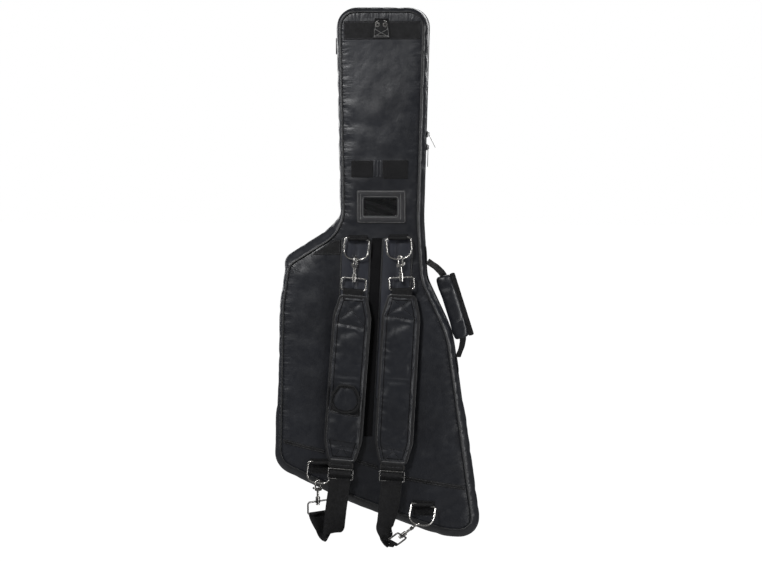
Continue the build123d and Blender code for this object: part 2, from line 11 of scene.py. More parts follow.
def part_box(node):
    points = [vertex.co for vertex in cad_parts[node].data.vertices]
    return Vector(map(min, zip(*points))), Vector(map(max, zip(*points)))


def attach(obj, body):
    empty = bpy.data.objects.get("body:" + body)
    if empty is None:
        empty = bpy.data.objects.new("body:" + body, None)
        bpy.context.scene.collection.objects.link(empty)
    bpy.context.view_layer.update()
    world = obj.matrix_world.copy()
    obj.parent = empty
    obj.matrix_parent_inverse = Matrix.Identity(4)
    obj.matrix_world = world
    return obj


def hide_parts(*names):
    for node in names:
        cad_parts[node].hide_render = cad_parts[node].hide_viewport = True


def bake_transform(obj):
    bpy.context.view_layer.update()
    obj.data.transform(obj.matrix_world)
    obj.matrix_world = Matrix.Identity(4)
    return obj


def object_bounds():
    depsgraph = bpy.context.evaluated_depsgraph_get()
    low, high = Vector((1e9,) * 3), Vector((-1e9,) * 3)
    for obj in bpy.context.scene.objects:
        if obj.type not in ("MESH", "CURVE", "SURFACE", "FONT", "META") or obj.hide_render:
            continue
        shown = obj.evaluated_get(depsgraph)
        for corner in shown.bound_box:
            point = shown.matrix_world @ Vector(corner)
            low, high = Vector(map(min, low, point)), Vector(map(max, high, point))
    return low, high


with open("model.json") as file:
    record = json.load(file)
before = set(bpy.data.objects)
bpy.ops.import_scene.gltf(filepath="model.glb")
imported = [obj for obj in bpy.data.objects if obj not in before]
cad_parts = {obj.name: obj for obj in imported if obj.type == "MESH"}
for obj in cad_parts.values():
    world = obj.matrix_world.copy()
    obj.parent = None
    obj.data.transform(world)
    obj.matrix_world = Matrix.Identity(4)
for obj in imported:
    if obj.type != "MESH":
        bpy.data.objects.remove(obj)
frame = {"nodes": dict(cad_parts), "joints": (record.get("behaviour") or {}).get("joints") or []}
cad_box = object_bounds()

# A padded gig bag seen from its strap side: -Y points at the viewer, +X is right, +Z is up.
# New pieces are worked out in mm in the frame's own axes, and become metres in piece().
# Flat loops and paths are rows of (x, z), and loops run counter-clockwise.

MM = 0.001
TAU = 2 * math.pi
UP = (0, 0, 1)
DEEP = (0, 1, 0)  # from the viewer into the bag
SIDES = ("left", "right")


# ---------------------------------------------------------------- reading the frame


def span(node):
    """Lowest and highest corner of a CAD node, in mm."""
    lo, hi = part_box(node)
    return np.array(lo) / MM, np.array(hi) / MM


def joint(name):
    """Place of a joint in mm, and the direction of its axis."""
    found = next(j for j in frame["joints"] if j["name"] == name)
    return np.array(found["pos_m"]) / MM, np.array(found["axis"], float)


def node_points(node):
    """All the points of a CAD node, in mm."""
    return np.array([v.co for v in frame["nodes"][node].data.vertices]) / MM


def extent(points):
    return points.min(0), points.max(0)


def centre_of(points):
    return (points.min(0) + points.max(0)) / 2


def solids(node):
    """The separate solids of a CAD node, each as (points in mm, faces)."""
    points, where = np.unique(np.round(node_points(node), 3), axis=0, return_inverse=True)
    where = where.reshape(-1)
    faces = [[int(where[v]) for v in p.vertices] for p in frame["nodes"][node].data.polygons]
    group = list(range(len(points)))

    def root(i):
        while group[i] != i:
            group[i] = group[group[i]]
            i = group[i]
        return i

    for face in faces:
        for v in face[1:]:
            group[root(v)] = root(face[0])
    found = {}
    for face in faces:
        found.setdefault(root(face[0]), []).append(face)
    return [(points, group_faces) for group_faces in found.values()]


def corners(solid):
    """The points that a solid's faces use."""
    points, faces = solid
    return points[np.unique(np.concatenate([np.array(f) for f in faces]))]


def area(loop):
    x, z = loop[:, 0], loop[:, 1]
    return 0.5 * float(np.sum(x * np.roll(z, -1) - np.roll(x, -1) * z))


def flat_loops(solid, way=-1):
    """Edges of a solid's flat face furthest along Y * way, the loop round the largest area first."""
    points, faces = solid
    flat_within = 0.02
    reach = (corners(solid)[:, 1] * way).max() - flat_within
    edges = set()
    for face in faces:
        if all(points[v, 1] * way > reach for v in face):
            for a, b in zip(face, face[1:] + face[:1]):
                if (b, a) in edges:
                    edges.remove((b, a))
                else:
                    edges.add((a, b))
    follow = dict(edges)
    loops = []
    while follow:
        start, at = follow.popitem()
        chain = [start]
        while at != start:
            chain.append(at)
            at = follow.pop(at)
        loop = points[chain][:, [0, 2]]
        loops.append(loop if area(loop) > 0 else loop[::-1])
    return sorted(loops, key=lambda loop: -area(loop))


def outline_of(node, way=-1):
    return flat_loops(solids(node)[0], way)[0]


# ---------------------------------------------------------------- curves and loops


def lengths(path, closed):
    """Distance along a path at each of its points; a closed path ends with its full length."""
    steps = np.diff(np.vstack([path, path[:1]]) if closed else path, axis=0)
    return np.concatenate([[0], np.cumsum(np.linalg.norm(steps, axis=1))])


def resample(path, spacing, closed=False):
    """The same path with evenly spaced points."""
    path = np.asarray(path, float)
    far = lengths(path, closed)
    points = np.vstack([path, path[:1]]) if closed else path
    count = max(2, round(far[-1] / spacing))
    at = np.linspace(0, far[-1], count, endpoint=False) if closed else np.linspace(0, far[-1], count + 1)
    return np.stack([np.interp(at, far, points[:, k]) for k in range(points.shape[1])], 1)


def densify(loop, spacing):
    """A closed loop with its long sides divided; its corners stay."""
    points = []
    for a, b in zip(loop, np.roll(loop, -1, axis=0)):
        count = max(1, round(float(np.linalg.norm(b - a)) / spacing))
        points += [a + (b - a) * i / count for i in range(count)]
    return np.array(points)


def curve(controls, spacing=4.0):
    """A smooth path through its control points."""
    c = np.asarray(controls, float)
    c = np.vstack([2 * c[0] - c[1], c, 2 * c[-1] - c[-2]])
    points = []
    for i in range(1, len(c) - 2):
        for t in np.linspace(0, 1, 16, endpoint=False):
            a = 2 * c[i]
            b = c[i + 1] - c[i - 1]
            d = 2 * c[i - 1] - 5 * c[i] + 4 * c[i + 1] - c[i + 2]
            e = 3 * c[i] - c[i - 1] - 3 * c[i + 1] + c[i + 2]
            points.append(0.5 * (a + b * t + d * t * t + e * t ** 3))
    return resample(np.array(points + [c[-2]]), spacing)


def unit(rows):
    return rows / np.linalg.norm(rows, axis=1, keepdims=True)


def square_to(rows, along):
    """Unit vectors: each row's part at right angles to the matching row of `along`."""
    rows = np.broadcast_to(np.asarray(rows, float), along.shape)
    return unit(rows - np.sum(rows * along, axis=1, keepdims=True) * along)


def outward(loop):
    """Unit normals of a loop, pointing out."""
    tangent = np.roll(loop, -1, axis=0) - np.roll(loop, 1, axis=0)
    return unit(np.stack([tangent[:, 1], -tangent[:, 0]], 1))


def grown(loop, by):
    return loop + outward(loop) * by


def inset(loop, by):
    """An evenly spaced loop inside another."""
    return resample(grown(loop, -by), 3.0, closed=True)


def rectangle(x0, z0, x1, z1):
    return np.array([(x0, z0), (x1, z0), (x1, z1), (x0, z1)])


def mirrored(half, across=0):
    """Half an outline, followed by its mirror image in the other direction."""
    sign = (-1, 1) if across == 0 else (1, -1)
    return half + [(x * sign[0], y * sign[1]) for x, y in half[::-1]]


def distance_to(points, loop, closed=True):
    """Distance from each point to a polyline, and the length along it of the nearest place."""
    loop = np.asarray(loop, float)
    ends = np.roll(loop, -1, axis=0) if closed else loop[1:]
    starts = loop if closed else loop[:-1]
    far = lengths(loop, closed)
    best = np.full(len(points), 1e9)
    along = np.zeros(len(points))
    for a, b, start in zip(starts, ends, far):
        side = b - a
        share = np.clip((points - a) @ side / (side @ side), 0, 1)
        gap = np.linalg.norm(points - a - share[:, None] * side, axis=1)
        near = gap < best
        best[near] = gap[near]
        along[near] = start + share[near] * np.linalg.norm(side)
    return best, along


def from_line(points, line):
    return distance_to(points, line, closed=False)[0]


def soften(loop, times):
    """The loop with its corners rounded off."""
    for _ in range(times):
        loop = 0.5 * loop + 0.25 * (np.roll(loop, 1, axis=0) + np.roll(loop, -1, axis=0))
    return loop


def inside(points, loop):
    result = np.zeros(len(points), bool)
    for (ax, az), (bx, bz) in zip(loop, np.roll(loop, -1, axis=0)):
        crosses = (az > points[:, 1]) != (bz > points[:, 1])
        if abs(bz - az) > 1e-9:
            result ^= crosses & (points[:, 0] < ax + (points[:, 1] - az) * (bx - ax) / (bz - az))
    return result


def ripple(s, shift=0.0, waves=(13.0, 19.0, 31.0)):
    """A smooth irregular wave between about -1 and 1 along a length in mm."""
    return sum(np.sin(s * TAU / w + shift + 1.7 * i) for i, w in enumerate(waves)) / len(waves)


def smooth(value, low, high):
    """Eases from 0 to 1 as the value goes from low to high."""
    t = np.clip((value - low) / (high - low), 0, 1)
    return t * t * (3 - 2 * t)


def rise(gap, reach):
    """Climbs from 0 at an edge towards 1, steeply within `reach` mm of it."""
    return 1 - np.exp(-gap / reach)


def dome(height, reach):
    """A swelling that depends only on the distance from the edge."""
    return lambda flat, gap: height * rise(gap, reach)


def at_y(flat, y):
    """Flat (x, z) points set at one depth, or at one depth each."""
    return np.stack([flat[:, 0], np.broadcast_to(y, len(flat)), flat[:, 1]], 1)


# ---------------------------------------------------------------- meshes: (points, faces, cloth, seam)


def mesh_of(points, faces, cloth=None, seam=None):
    """cloth is the position in the woven cloth, seam the (length along, distance from) the nearest seam."""
    points = np.asarray(points, float)
    cloth = points[:, [0, 2, 1]] if cloth is None else np.asarray(cloth, float)
    seam = np.full((len(points), 3), 99.0) if seam is None else np.asarray(seam, float)
    return points, [list(map(int, f)) for f in faces], cloth, seam


def fill(loop, spacing):
    """Points and faces that fill a loop: the loop's own points first, then a square grid inside."""
    lo, hi = extent(loop)
    axes = [np.arange(lo[k] + spacing / 2, hi[k], spacing) for k in (0, 1)]
    grid = np.stack(np.meshgrid(*axes), -1).reshape(-1, 2)
    grid = grid[inside(grid, loop)]
    clear_of_loop = 0.55 * spacing
    if len(grid):
        grid = grid[distance_to(grid, loop)[0] > clear_of_loop]
    points = np.vstack([loop, grid])
    ring = [list(range(len(loop)))]
    out = geometry.delaunay_2d_cdt([Vector(p) for p in points], [], ring, 1, 1e-5)
    source = [ids[0] for ids in out[3]]
    bm = bmesh.new()
    verts = [bm.verts.new((p[0], p[1], 0)) for p in points]
    for face in out[2]:
        bm.faces.new([verts[source[v]] for v in face])
    bmesh.ops.join_triangles(bm, faces=bm.faces[:], angle_face_threshold=0.1, angle_shape_threshold=0.7)
    bm.verts.index_update()
    faces = [[v.index for v in face.verts] for face in bm.faces]
    bm.free()
    return points, faces


def bridge(first, second):
    """Quads between two closed rows with the same number of points."""
    quads = zip(first, [*first[1:], first[0]], [*second[1:], second[0]], second)
    return [list(quad) for quad in quads]


def ring_faces(count, size, closed=False):
    """Quads along `count` rings of `size` points; an open run is capped at both ends."""
    rows = [range(i * size, (i + 1) * size) for i in range(count)]
    faces = []
    for a, b in zip(rows, rows[1:] + (rows[:1] if closed else [])):
        faces += bridge(a, b)
    return faces if closed else faces + [rows[0][::-1], rows[-1]]


def wall_faces(faces, panel, edge, rings):
    """A panel's faces, with quads from its edge, its first points, over the rings that follow the panel."""
    rows = [range(edge)] + [range(panel + k * edge, panel + (k + 1) * edge) for k in range(rings)]
    for before, row in zip(rows, rows[1:]):
        faces = faces + bridge(row, before)
    return faces


def tangents(path, closed=False):
    if closed:
        return unit(np.roll(path, -1, axis=0) - np.roll(path, 1, axis=0))
    return unit(np.gradient(path, axis=0))


def sweep(path, across, section, closed=False):
    """A section of (across, out) points carried along a path; `across` is one direction or one per point."""
    path = np.asarray(path, float)
    t = tangents(path, closed)
    w = square_to(across, t)
    out = np.cross(t, w)
    section = np.asarray(section, float)
    if section.ndim == 2:
        section = np.broadcast_to(section, (len(path),) + section.shape)
    size = section.shape[1]
    points = path[:, None] + section[:, :, :1] * w[:, None] + section[:, :, 1:] * out[:, None]
    far = lengths(path, closed)[: len(path)]
    cloth = np.stack([np.repeat(far, size), section[:, :, 0].ravel(), section[:, :, 1].ravel()], 1)
    return mesh_of(points.reshape(-1, 3), ring_faces(len(path), size, closed), cloth)


def ribbon(path, across, width, thick, cells=8):
    """A woven band: flat faces with rounded edges."""
    half = width / 2 - thick / 3
    top = [(x, thick / 2) for x in np.linspace(half, -half, cells)]
    bottom = [(-x, -y) for x, y in top]
    return sweep(path, across, top + [(-width / 2, 0)] + bottom + [(width / 2, 0)])


def tube(path, radius, across=DEEP, sides=8, closed=False):
    """A round cord; radius is one size or one per point."""
    angles = np.arange(sides) * TAU / sides
    circle = np.stack([np.cos(angles), np.sin(angles)], 1)
    radii = np.broadcast_to(np.asarray(radius, float), (len(path),))
    return sweep(path, across, radii[:, None, None] * circle, closed)


def beads(middles, along, up, length, radius):
    """Rounded grains at many places, such as stitches or zip teeth."""
    along = unit(np.broadcast_to(np.asarray(along, float), middles.shape))
    up = square_to(up, along)
    side = np.cross(along, up)
    sides = 5
    angles = np.arange(sides) * TAU / sides
    rings = [(-0.5, 0.35, -0.7), (-0.3, 1, 0), (0.3, 1, 0), (0.5, 0.35, -0.7)]
    grain = np.array(
        [
            (x * length, radius * r * math.cos(a), radius * (r * math.sin(a) + drop))
            for x, r, drop in rings
            for a in angles
        ]
    )
    points = sum(grain[:, k][None, :, None] * axis[:, None] for k, axis in enumerate((along, side, up)))
    points = points + middles[:, None]
    one = ring_faces(len(rings), sides)
    faces = [[v + i * len(grain) for v in face] for i in range(len(middles)) for face in one]
    return mesh_of(points.reshape(-1, 3), faces)


def stitches(path, up=(0, -1, 0), pitch=3.4, length=2.4, radius=0.36, closed=False):
    """A row of thread stitches along a path that lies on the cloth."""
    points = resample(path, pitch / 2, closed)
    every = slice(0 if closed else 1, None, 2)
    return beads(points[every], tangents(points, closed)[every], up, length, radius)


def layered(loop, spacing, top, bottom, rim):
    """A closed flat piece; top and bottom give Y from (points, distance from the edge)."""
    flat, faces = fill(grown(loop, -rim), spacing)
    gap = distance_to(flat, loop)[0]
    upper = top(flat, gap)
    lower = bottom(flat, gap)
    count, edge = len(flat), len(loop)
    middle = (upper[:edge] + lower[:edge]) / 2
    points = np.vstack([at_y(flat, upper), at_y(flat, lower), at_y(loop, middle)])
    ring = range(2 * count, 2 * count + edge)
    faces = faces + [[v + count for v in f[::-1]] for f in faces]
    faces += bridge(range(edge), ring) + bridge(ring, range(count, count + edge))
    seam = np.zeros((len(points), 3))
    seam[:, 1] = np.concatenate([gap, gap, np.zeros(edge)])
    return mesh_of(points, faces, None, seam)


class Place:
    """A local place: its origin in mm, local X and local Z; local Y follows."""

    def __init__(self, origin, x, z):
        self.origin = np.asarray(origin, float)
        z = np.asarray(z, float) / np.linalg.norm(z)
        x = np.asarray(x, float) - np.dot(x, z) * z
        x = x / np.linalg.norm(x)
        self.axes = np.array([x, np.cross(z, x), z])

    def turn(self, local):
        """A local direction in the frame's axes."""
        return np.asarray(local, float) @ self.axes

    def at(self, local):
        return self.turn(local) + self.origin

    def local(self, points):
        return (np.asarray(points, float) - self.origin) @ self.axes.T

    def local_outline(self, node):
        """A node's outline as local (x, z)."""
        return self.local(at_y(outline_of(node), self.origin[1]))[:, [0, 2]]


def simulate(mesh, pinned, pressure, shrink, cap, stiff=12.0):
    """Blows the cloth up, then keeps each point within `cap` of where it started."""
    points, faces, cloth, seam = mesh
    data = bpy.data.meshes.new("cloth_test")
    data.from_pydata((points * MM).tolist(), [], faces)
    obj = bpy.data.objects.new("cloth_test", data)
    bpy.context.collection.objects.link(obj)
    group = obj.vertex_groups.new(name="sewn")
    for i in np.nonzero(pinned > 0)[0]:
        group.add([int(i)], float(pinned[i]), "REPLACE")
    modifier = obj.modifiers.new("Cloth", "CLOTH")
    rules = modifier.settings
    rules.quality = 5
    rules.mass = 0.15
    rules.tension_stiffness = stiff
    rules.compression_stiffness = stiff
    rules.shear_stiffness = stiff / 2
    rules.bending_stiffness = 0.4
    rules.use_pressure = True
    rules.uniform_pressure_force = pressure
    rules.shrink_min = shrink
    rules.vertex_group_mass = "sewn"
    rules.effector_weights.gravity = 0
    modifier.collision_settings.use_collision = False
    scene = bpy.context.scene
    last_frame = 20
    for number in range(1, last_frame + 1):
        scene.frame_set(number)
    shape = obj.evaluated_get(bpy.context.evaluated_depsgraph_get()).to_mesh()
    result = np.empty(len(points) * 3)
    shape.vertices.foreach_get("co", result)
    bpy.data.objects.remove(obj)
    bpy.data.meshes.remove(data)
    scene.frame_set(1)
    shift = result.reshape(-1, 3) / MM - points
    size = np.linalg.norm(shift, axis=1) + 1e-9
    cap = np.broadcast_to(np.asarray(cap, float), size.shape) + 1e-6
    shift *= (cap * np.tanh(size / cap) / size)[:, None]
    return points + shift, faces, cloth, seam


def piece(name, meshes, look, body=None, replaces="", place=None, subdivide=0, thick=0.0, sharp=50):
    """One named object made of meshes, riding on a CAD body and standing for the CAD nodes it replaces."""
    meshes = meshes if isinstance(meshes, list) else [meshes]
    points = [place.at(mesh[0]) if place else mesh[0] for mesh in meshes]
    starts = np.cumsum([0] + [len(p) for p in points])
    faces = [[v + int(start) for v in face] for mesh, start in zip(meshes, starts) for face in mesh[1]]
    data = bpy.data.meshes.new(name)
    data.from_pydata((np.vstack(points) * MM).tolist(), [], faces)
    for key, column in (("cloth", 2), ("seam", 3)):
        values = data.attributes.new(key, "FLOAT_VECTOR", "POINT")
        values.data.foreach_set("vector", np.vstack([m[column] for m in meshes]).astype(np.float32).ravel())
    bm = bmesh.new()
    bm.from_mesh(data)
    bmesh.ops.recalc_face_normals(bm, faces=bm.faces[:])
    bm.to_mesh(data)
    bm.free()
    obj = bpy.data.objects.new(name, data)
    bpy.context.collection.objects.link(obj)
    if subdivide:
        modifier = obj.modifiers.new("Subdivision", "SUBSURF")
        modifier.levels = modifier.render_levels = subdivide
    if thick:
        modifier = obj.modifiers.new("Thickness", "SOLIDIFY")
        modifier.thickness = thick * MM
        modifier.offset = -1
    if obj.modifiers:
        bpy.context.view_layer.update()
        shape = obj.evaluated_get(bpy.context.evaluated_depsgraph_get())
        obj.data = bpy.data.meshes.new_from_object(shape)
        obj.modifiers.clear()
        bpy.data.meshes.remove(data)
        obj.data.name = name
    obj.data.polygons.foreach_set("use_smooth", [True] * len(obj.data.polygons))
    obj.data.set_sharp_from_angle(angle=math.radians(sharp))
    obj.data.materials.clear()
    obj.data.materials.append(look)
    if replaces:
        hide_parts(*replaces.split())
    if body:
        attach(obj, body)
    return obj


# ---------------------------------------------------------------- materials


class Nodes:
    """Shader nodes of a material or a world; a value is a number, a colour or another node's output."""

    def __init__(self, tree):
        self.tree = tree

    def feed(self, node, inputs):
        for key, value in inputs.items():
            if isinstance(value, bpy.types.NodeSocket):
                self.tree.links.new(value, node.inputs[key])
            else:
                node.inputs[key].default_value = value

    def put(self, kind, inputs=None, **settings):
        node = self.tree.nodes.new("ShaderNode" + kind)
        for key, value in settings.items():
            setattr(node, key, value)
        self.feed(node, inputs or {})
        return node.outputs

    def math(self, operation, a, b=0.0):
        return self.put("Math", {0: a, 1: b}, operation=operation)[0]

    def graded(self, fac, low, high, start=0.3, end=0.7):
        """Runs evenly from one value to another as fac goes from start to end."""
        inputs = {"Value": fac, "From Min": start, "From Max": end, "To Min": low, "To Max": high}
        return self.put("MapRange", inputs)["Result"]


class Look(Nodes):
    """A material in the making; its slot names the material of the real part."""

    def __init__(self, name, slot):
        self.material = bpy.data.materials.new(name)
        self.material.use_nodes = True
        self.material["slot"] = slot
        super().__init__(self.material.node_tree)
        self.place = self.put("TexCoord")["Object"]

    def noise(self, scale, detail=3.0, rough=0.5, vector=None):
        vector = self.place if vector is None else vector
        inputs = {"Vector": vector, "Scale": scale, "Detail": detail, "Roughness": rough}
        return self.put("TexNoise", inputs)["Fac"]

    def on_mesh(self, name):
        """First two parts of a vector kept on the mesh: `cloth` or `seam`."""
        vector = self.put("Attribute", attribute_name=name)["Vector"]
        parts = self.put("SeparateXYZ", {"Vector": vector})
        return parts[0], parts[1]

    def bump(self, height, depth_mm, below=None):
        inputs = {"Height": height, "Strength": 1.0, "Distance": depth_mm * MM}
        if below is not None:
            inputs["Normal"] = below
        return self.put("Bump", inputs)["Normal"]

    def tinted(self, fac, dark, light):
        output = self.put("ValToRGB", {"Fac": fac})["Color"]
        for element, colour, position in zip(output.node.color_ramp.elements, (dark, light), (0.3, 0.7)):
            element.color = (*colour, 1)
            element.position = position
        return output

    def plain_weave(self, pitch):
        """Over-and-under threads `pitch` mm apart."""
        waves = [self.math("SINE", self.math("MULTIPLY", k, math.pi / pitch)) for k in self.on_mesh("cloth")]
        return self.math("MULTIPLY", *waves)

    def webbing_weave(self, rib, pick):
        """Ribs along the band, crossed by slanting picks that turn back at every rib."""
        along, side = self.on_mesh("cloth")
        slant = self.math("ADD", self.math("MULTIPLY", along, TAU / pick), self.math("PINGPONG", side, rib))
        ribs = self.math("COSINE", self.math("MULTIPLY", side, TAU / rib))
        picks = self.math("SINE", slant)
        return self.math("ADD", self.math("MULTIPLY", ribs, 0.6), self.math("MULTIPLY", picks, 0.4))

    def puckers(self):
        """Short gathers that stand across a seam and fade away from it."""
        along, away = self.on_mesh("seam")
        flat = self.put("CombineXYZ", {"X": along, "Y": self.math("MULTIPLY", away, 0.22)})[0]
        fade = self.graded(away, 1.0, 0.0, 1.0, 30.0)
        return self.math("MULTIPLY", self.noise(0.11, 2.0, 0.6, flat), fade)

    def finish(self, **inputs):
        """Sets the surface's inputs, an underscore in a name standing for a space."""
        named = {key.replace("_", " "): value for key, value in inputs.items()}
        self.feed(self.tree.nodes["Principled BSDF"], named)
        return self.material


def nylon(name, slot, dark, light, rough=(0.36, 0.48), weave=0.012, soft=0.9, sheen=0.04):
    """Satin nylon: fine weave, gathers at the seams, soft unevenness and a cool sheen."""
    look = Look(name, slot)
    patches, folds, creases, rubbed = 7.0, 15.0, 55.0, 60.0  # noise scales, the larger the finer
    fold_depth, crease_depth, pucker_depth, thread_pitch = 2.0 * soft, 0.5 * soft, 1.9, 0.55  # mm
    normal = look.bump(look.noise(folds), fold_depth)
    normal = look.bump(look.noise(creases, 2.0), crease_depth, normal)
    normal = look.bump(look.puckers(), pucker_depth, normal)
    normal = look.bump(look.plain_weave(thread_pitch), weave, normal)
    return look.finish(
        Base_Color=look.tinted(look.noise(patches, 2.0), dark, light),
        Roughness=look.graded(look.noise(rubbed, 4.0, 0.6), *rough),
        Normal=normal,
        Specular_IOR_Level=0.7,
        Sheen_Weight=sheen,
        Sheen_Roughness=0.4,
        Sheen_Tint=(0.75, 0.82, 1.0, 1),
    )


def webbing(name, slot, dark, light, rib=3.1, pick=1.5, depth=0.22):
    """Ribbed woven band, a little worn, with painted shade in the grooves of its weave."""
    look = Look(name, slot)
    height = look.webbing_weave(rib, pick)
    worn = look.noise(90.0, 4.0, 0.7)
    return look.finish(
        # The weave's height also sets the colour: the grooves between the ribs are painted darker as painted
        # shade.
        Base_Color=look.tinted(look.math("ADD", look.math("MULTIPLY", height, 0.22), worn), dark, light),
        Roughness=0.72,
        Specular_IOR_Level=0.25,
        Normal=look.bump(height, depth, look.bump(worn, 0.25)),
        Sheen_Weight=0.02,
    )


def metal(name, slot, colour, rough, metallic=1.0):
    """Plated metal: polished, with faint handling marks and duller patches."""
    look = Look(name, slot)
    patches = look.noise(130.0, 5.0, 0.65)
    return look.finish(
        Base_Color=look.tinted(patches, tuple(0.72 * c for c in colour), colour),
        Metallic=metallic,
        Roughness=look.graded(patches, rough[1], rough[0]),
        Normal=look.bump(look.noise(900.0, 2.0), 0.02),
    )


def fuzzy(name, slot, dark, light, scale, depth, rough=0.9, sheen=0.5):
    """Pile cloth, card or hook tape: a fine random nap."""
    look = Look(name, slot)
    nap = look.noise(scale, 4.0, 0.7)
    broad = look.math("MULTIPLY", look.noise(25.0, 2.0), 0.3)
    return look.finish(
        Base_Color=look.tinted(look.math("ADD", nap, broad), dark, light),
        Roughness=rough,
        Specular_IOR_Level=0.2,
        Normal=look.bump(nap, depth),
        Sheen_Weight=sheen,
    )


def grained(name, slot, dark, light):
    """Leather-grain vinyl: small raised cells."""
    look = Look(name, slot)
    cells = look.put("TexVoronoi", {"Vector": look.place, "Scale": 700.0}, feature="DISTANCE_TO_EDGE")
    height = look.graded(cells["Distance"], 0.0, 1.0, 0.0, 0.25)
    return look.finish(
        Base_Color=look.tinted(look.noise(60.0), dark, light),
        Roughness=look.graded(height, 0.55, 0.33, 0.0, 1.0),
        Normal=look.bump(height, 0.12),
    )


def film(name, slot):
    """Clear soft film, slightly hazy."""
    look = Look(name, slot)
    haze = look.noise(40.0, 2.0)
    return look.finish(
        Base_Color=(0.93, 0.95, 0.96, 1),
        Roughness=look.graded(haze, 0.03, 0.09),
        Transmission_Weight=1.0,
        IOR=1.46,
        Normal=look.bump(haze, 0.5),
    )


NYLON = nylon("satin_nylon", "nylon", (0.0060, 0.0068, 0.0100), (0.0112, 0.0127, 0.0178))
# The same satin nylon painted a little lighter: painted light on the padded parts, which stand nearer the
# lamps.
LIT_PAD_NYLON = nylon(
    "pad_nylon", "nylon", (0.0068, 0.0078, 0.0112), (0.0122, 0.0138, 0.0188), (0.34, 0.46), 0.012, 0.6, 0.05
)
BINDING = nylon("binding_tape", "piping", (0.007, 0.007, 0.008), (0.013, 0.013, 0.015), soft=0.5, weave=0.02)
PIPING = nylon(
    "piping_cord", "piping", (0.005, 0.0053, 0.006), (0.009, 0.0095, 0.011), (0.44, 0.56), 0.012, 0.3
)
# The same nylon painted much lighter: painted light on the landing pads, which sit in the shade of the ring
# tabs.
LIT_LANDING_NYLON = nylon("landing_nylon_painted_light", "nylon", (0.025, 0.027, 0.035), (0.036, 0.039, 0.05), (0.28, 0.38), soft=0.4)
WEBBING = webbing("strap_webbing", "webbing", (0.0035, 0.0035, 0.004), (0.011, 0.011, 0.012))
TRIM = webbing("trim_webbing", "webbing", (0.005, 0.005, 0.0055), (0.017, 0.017, 0.018), 2.0, 1.6)
THREAD = webbing("sewing_thread", "webbing", (0.06, 0.062, 0.067), (0.12, 0.12, 0.13), 0.5, 0.6, 0.05)
PALE_THREAD = webbing("pale_thread", "webbing", (0.22, 0.22, 0.22), (0.40, 0.40, 0.39), 0.5, 0.6, 0.05)
CORD = webbing("pull_cord", "cord", (0.008, 0.008, 0.009), (0.03, 0.03, 0.032), 1.0, 1.2, 0.12)
ZIP_TAPE = webbing("zip_tape", "zip", (0.010, 0.010, 0.011), (0.024, 0.024, 0.026), 1.0, 1.1, 0.1)
NICKEL = metal("bright_nickel", "nickel", (0.64, 0.625, 0.60), (0.18, 0.32))
# The same nickel painted darker: painted dark reflection on the lower base rings and tri-glides, which are
# not a smoked finish.
NICKEL_PAINTED_DARK = metal("nickel_painted_dark_reflection", "nickel", (0.26, 0.255, 0.25), (0.2, 0.36))
SLIDER = metal("black_slider", "slider_metal", (0.05, 0.05, 0.055), (0.22, 0.4), 0.6)
ZIP_COIL = metal("zip_coil", "zip", (0.03, 0.03, 0.032), (0.3, 0.45), 0.0)
PLUSH = fuzzy("plush_lining", "plush", (0.030, 0.030, 0.034), (0.062, 0.062, 0.068), 900.0, 0.5)
# Near-black pile: the spine strip's own black mesh, and painted shade in the hanger slot and in the pads'
# sewn channels.
BLACK_MESH_AND_SHADE = fuzzy("black_mesh_and_painted_shade", "plush", (0.002, 0.002, 0.002), (0.006, 0.006, 0.007), 1200.0, 0.5, sheen=0.0)
HOOK_TAPE = fuzzy(
    "hook_tape", "hook_loop", (0.003, 0.003, 0.003), (0.012, 0.012, 0.013), 2600.0, 0.6, 0.9, 0.1
)
CARD = fuzzy("card_stock", "card", (0.006, 0.006, 0.007), (0.012, 0.012, 0.013), 500.0, 0.05, 0.6, sheen=0)
VINYL = grained("leather_grain", "leatherette", (0.018, 0.018, 0.020), (0.030, 0.030, 0.033))
FILM = film("window_film", "clear_film")


# ---------------------------------------------------------------- the padded shells

BACK_Y = span("body_cloth")[0][1]
ZIP_Y = span("body_cloth")[1][1]
FRONT_Y = span("lid_cloth")[1][1]
OUTLINE = resample(outline_of("body_cloth"), 7.0, closed=True)
OUTLINE_LENGTH = lengths(OUTLINE, True)[: len(OUTLINE)]
TOP_Z = OUTLINE[:, 1].max()
# (outward growth, depth from the panel) of a side wall, from the piped seam to the zip
BACK_WALL = [(3.4, 1.8), (6.2, 5.5), (8.0, 11.0), (9.2, 19.0), (9.9, 28.0)]
BACK_WALL += [(10.0, 37.0), (9.8, 46.0), (9.5, 54.0), (9.4, 60.0), (9.3, 65.2)]
FRONT_WALL = [(3.4, 1.8), (6.2, 5.5), (8.0, 10.0), (9.0, 15.0), (9.2, 20.0), (9.2, 24.6)]
POCKET_WALL = [(2.6, 0.9), (5.0, 3.0), (6.6, 6.4), (7.2, 12.0), (7.0, 18.0), (6.6, 26.5)]
SHELL_THICK = 1.6
SEAM_DIP = 1.2  # how far a panel is drawn in at its piped seam
WALL_CAP = 2.4  # how far the simulation may move a side wall
FOOT_FROM = -span("handle_anchors")[0][2] + 15.0  # the loose foot of the bag starts below the handle
SHOULDER_TO = span("card_frame")[1][2]


